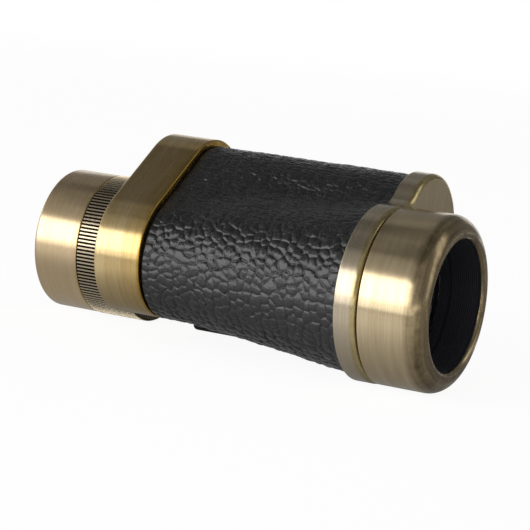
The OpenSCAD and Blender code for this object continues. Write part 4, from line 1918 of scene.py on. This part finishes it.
def plain_card(name: str, glow: float, tone: float = 0.1) -> bpy.types.Material:
    """A dull neutral card, which may glow a little.

    Args:
        name: Name of the material.
        glow: Its own light, where 1 is white.
        tone: Its grey level.

    Returns:
        The new material.
    """
    mat = new_material(name)
    paper = add_node(mat, "BsdfDiffuse", {"Color": grey(tone)})
    light = add_node(mat, "Emission", {"Color": WHITE, "Strength": glow})
    return finish_material(mat, "AddShader", links={0: paper, 1: light})


def fading_card(name: str, steps: tuple) -> bpy.types.Material:
    """A white card whose glow fades towards the object, as the object's shade would make it.

    Args:
        name: Name of the material.
        steps: Places across the table in metres, each with its glow, where 1 is white.

    Returns:
        The new material.
    """
    mat = new_material(name)
    place = add_node(mat, "TexCoord").outputs["Object"]
    across = add_node(mat, "SeparateXYZ", links={0: place}).outputs[1]
    glow = add_node(mat, "Math", {"operation": "MULTIPLY", 0: steps[0][1], 1: 1.0})
    for (start, before), (end, after) in zip(steps, steps[1:]):
        change = {"interpolation_type": "SMOOTHSTEP", **spread(1.0, after / before, (start, end))}
        share = add_node(mat, "MapRange", change, {0: across})
        glow = add_node(mat, "Math", {"operation": "MULTIPLY"}, {0: glow, 1: share})
    return finish_material(mat, "Emission", {"Color": WHITE}, {"Strength": glow})


def banded_card(name: str, low: float, high: float) -> bpy.types.Material:
    """A dim card with soft bands along the object, as a ceiling with beams would show.

    Args:
        name: Name of the material.
        low: Glow of the darkest band, where 1 is white.
        high: Glow of the lightest band.

    Returns:
        The new material.
    """
    mat = new_material(name)
    place = add_node(mat, "TexCoord").outputs["Object"]
    drawn_out, per_metre = (0.15, 1, 1), 4.5
    stretch = add_node(mat, "Mapping", {"Scale": drawn_out}, {"Vector": place})
    bands = add_node(mat, "TexNoise", {"Scale": per_metre, "Detail": 1.0}, {"Vector": stretch})
    glow = add_node(mat, "MapRange", spread(low, high, (0.35, 0.65)), {0: bands})
    return finish_material(mat, "Emission", {"Color": WHITE}, {"Strength": glow})


def flat_card(
    name: str, xs: tuple, ys: tuple, mat: bpy.types.Material, z: float = 5e-5
) -> bpy.types.Object:
    """Adds a flat card on the table that is only seen in mirroring surfaces.

    Args:
        name: Name of the card.
        xs: Its two sides in metres.
        ys: Its near and its far edge.
        mat: Its material.
        z: Its height, just over the floor.

    Returns:
        The new object.
    """
    corners = [(xs[0], ys[0], z), (xs[1], ys[0], z), (xs[1], ys[1], z), (xs[0], ys[1], z)]
    card = stage_mesh(name, corners, [(0, 1, 2, 3)], mat)
    card.visible_shadow = False
    card.visible_diffuse = False
    return card


def sky_card(
    name: str, azimuths: tuple, heights: tuple, mat: bpy.types.Material, far: float = 1.6
) -> bpy.types.Object:
    """Adds a curved card that covers a patch of the sky.

    Args:
        name: Name of the card.
        azimuths: Its two sides in degrees, where 0 is the near side and 90 the objective's.
        heights: Its two edges in degrees above the table.
        mat: Its material.
        far: Its distance in metres.

    Returns:
        The new object.
    """
    columns, rows = 37, 13
    sides, edges = np.linspace(*azimuths, columns), np.linspace(*heights, rows)
    a, h = np.meshgrid(np.radians(sides), np.radians(edges))
    grid = np.stack([np.sin(a) * np.cos(h), -np.cos(a) * np.cos(h), np.sin(h)], axis=-1) * far
    return stage_mesh(name, grid.reshape(-1, 3).tolist(), skin_rings(grid, closed=False), mat)


@dataclass(frozen=True)
class SoftBox:
    """A large soft lamp that looks at the object.

    Its azimuth is counted in degrees from the near side, its height in degrees over
    the table, its size in metres and its power in watts.
    """

    aim: tuple[float, float, float] = (0.0, 0.0, 0.02)
    azimuth: float = -27.0
    height: float = 10.0
    far: float = 0.9
    size: tuple[float, float] = (1.5, 0.585)
    power: float = 6.0

    def build(self, name: str) -> None:
        """Adds the lamp.

        Args:
            name: Name of the lamp.
        """
        data = bpy.data.lights.new(name, "AREA")
        data.shape = "RECTANGLE"
        data.size, data.size_y = self.size
        data.energy = self.power
        lamp = bpy.data.objects.new(name, data)
        bpy.context.scene.collection.objects.link(lamp)
        a, h = math.radians(self.azimuth), math.radians(self.height)
        way = Vector((math.sin(a) * math.cos(h), -math.cos(a) * math.cos(h), math.sin(h)))
        lamp.location = Vector(self.aim) + way * self.far
        lamp.rotation_euler = way.to_track_quat("Z", "Y").to_euler()


@dataclass(frozen=True)
class Studio:
    """Camera, lamp and white surroundings, in the photograph's arrangement.

    The camera's place was fitted to the photograph in the body's own axes with the
    origin at fit_x along the body. The shades are the table's glow in front of the
    body and of the sleeve, as places across the table with their glow.
    """

    fit_x: float = 28.2
    azimuth: float = 26.73
    elevation: float = -0.12
    roll: float = 9.68
    side: float = -2.61
    rise: float = 2.42
    distance: float = 507.64
    focal_px: float = 2200.0
    image_px: float = 530.0
    sensor: float = 36.0
    clip: tuple[float, float] = (0.01, 20.0)
    surroundings: float = 0.5
    floor_half: float = 3.0
    floor_glow: float = 0.93
    floor_tone: float = 0.85
    floor_shown_tone: float = 0.14
    body_shade: tuple = ((-0.062, 0.86), (-0.012, 0.26), (0.03, 0.2))
    sleeve_shade: tuple = ((-0.05, 0.86), (-0.008, 0.44), (0.03, 0.3))

    def camera_axes(self) -> tuple[Points, Points, Points]:
        """The camera's directions in the body's axes.

        Returns:
            Right, up and back.
        """
        a, e, r = (math.radians(v) for v in (self.azimuth, self.elevation, self.roll))
        back = np.array([math.sin(a) * math.cos(e), -math.cos(a) * math.cos(e), math.sin(e)])
        right = np.array([math.cos(a), math.sin(a), 0.0])
        up = np.cross(back, right)
        turned_right = math.cos(r) * right + math.sin(r) * up
        turned_up = -math.sin(r) * right + math.cos(r) * up
        return turned_right, turned_up, back

    def add_camera(self) -> None:
        """Adds the camera at the photograph's place."""
        right, up, back = self.camera_axes()
        spot = right * self.side + up * self.rise + back * self.distance
        spot = spot + np.array([self.fit_x, 0.0, 0.0])
        data = bpy.data.cameras.new("camera")
        data.sensor_width = self.sensor
        data.lens = self.focal_px / self.image_px * self.sensor
        data.clip_start, data.clip_end = self.clip
        cam = bpy.data.objects.new("camera", data)
        bpy.context.scene.collection.objects.link(cam)
        columns = [AXES.turn(v) for v in (right, up, back)]
        turned = Matrix([[columns[j][i] for j in range(3)] for i in range(3)])
        cam.matrix_world = Matrix.Translation(Vector(AXES.place(spot))) @ turned.to_4x4()
        bpy.context.scene.camera = cam

    def add_world(self) -> None:
        """White surroundings for what is seen and mirrored, and a plain level of light."""
        world = bpy.data.worlds.new("studio")
        bpy.context.scene.world = world
        world.use_nodes = True
        world.node_tree.nodes.clear()
        shown = add_shown(world)
        around = add_node(world, "Background", {"Color": WHITE, "Strength": self.surroundings})
        white = add_node(world, "Background", {"Color": WHITE, "Strength": 1.0})
        mixed = add_node(world, "MixShader", links={0: shown, 1: around, 2: white})
        add_node(world, "OutputWorld", links={"Surface": mixed})

    def add_floor(self) -> None:
        """Adds the pale floor, which shows white with the object's faint shadow."""
        mat = new_material("pale_paper_floor")
        shown = add_shown(mat)
        glow = add_node(mat, "Math", {"operation": "MULTIPLY", 1: self.floor_glow}, {0: shown})
        white = add_node(mat, "Emission", {"Color": WHITE}, {"Strength": glow})
        tones = {"data_type": "RGBA", 6: grey(self.floor_tone), 7: grey(self.floor_shown_tone)}
        tone = add_node(mat, "Mix", tones, {0: shown})
        paper = add_node(mat, "BsdfDiffuse", links={"Color": tone})
        finish_material(mat, "AddShader", links={0: white, 1: paper})
        size = self.floor_half
        corners = [(-size, -size, 0), (size, -size, 0), (size, size, 0), (-size, size, 0)]
        stage_mesh("floor", corners, [(0, 1, 2, 3)], mat)

    def add_cards(self) -> None:
        """Adds the cards that the metal mirrors: glowing painted reflections on the table, dark overhead
        and around.
        """
        dark = plain_card("dark_flag", 0.13, tone=0.2)
        grey_flag = plain_card("grey_flag", 0.4, tone=0.2)
        dimmer = plain_card("mid_flag", 0.22, tone=0.2)
        panel = plain_card("dim_panel", 0.3, tone=0.25)
        banded = banded_card("banded_flag", 0.07, 0.29)
        body_shade = fading_card("fading_card", self.body_shade)
        sleeve_shade = fading_card("sleeve_shade", self.sleeve_shade)
        # Painted reflections: the flat table cards glow only for mirrored rays. They give a bright glow
        # that stands for lamp light on the far table, a dark strip before it, the object's painted
        # shadow near it, and dim painted shade behind it.
        cards = [
            flat_card("glowing_reflection_table", (-0.6, 0.6), (-0.5, -0.118), plain_card("glowing_reflection_card", 1.8)),
            flat_card("dark_reflection_strip", (-0.6, 0.6), (-0.118, -0.1), plain_card("black_card", 0.0)),
            flat_card("table_card", (-0.04, 0.6), (-0.1, 0.05), body_shade),
            flat_card("sleeve_card", (-0.6, -0.04), (-0.1, 0.05), sleeve_shade),
            flat_card("left_card", (-0.6, 0.0), (0.05, 0.3), plain_card("left_card", 0.12)),
            flat_card("right_card", (0.0, 0.8), (0.06, 1.0), plain_card("dull_card", 0.2)),
            sky_card("overhead_flag", (-180.0, 180.0), (50.0, 90.0), banded),
            sky_card("back_flag", (-190.0, -85.0), (20.0, 51.0), dark),
            sky_card("right_flag", (18.0, 64.0), (1.0, 51.0), grey_flag),
            sky_card("far_right_flag", (64.0, 100.0), (1.0, 51.0), dimmer),
            sky_card("back_right_flag", (128.0, 176.0), (1.0, 51.0), dark),
            sky_card("dim_box", (-84.0, 18.0), (27.5, 50.0), panel),
        ]
        for card in cards:
            card.visible_camera = False

    def build(self) -> None:
        """Builds the whole studio."""
        self.add_camera()
        SoftBox().build("front_box")
        self.add_world()
        self.add_floor()
        self.add_cards()
        bpy.context.scene.view_settings.view_transform = "Standard"


def main() -> None:
    """Builds the monocular's looks in the order of its assembly."""
    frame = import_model()
    nodes = frame["nodes"]
    finishes = Finishes()
    PrismBody().dress(nodes, finishes)
    cap = RearCap()
    objective = ObjectiveRing()
    eyepiece = Eyepiece()
    socket = TripodSocket()
    builders = [
        LeatherCover().build,
        cap.build_shell,
        cap.build_screws,
        FrontFrame().build,
        objective.build,
        FocusRing().build,
        eyepiece.build_sleeve,
        eyepiece.build_cup,
        socket.build_pad,
        socket.build_bush,
    ]
    for builder in builders:
        piece = builder(finishes)
        log.info("built %s with %d faces", piece.name, len(piece.data.polygons))
    objective.dress(nodes, finishes)
    eyepiece.dress(nodes, finishes)
    Studio().build()


if __name__ == "__main__":
    logging.basicConfig(level=logging.INFO, format="%(name)s: %(message)s")
    main()
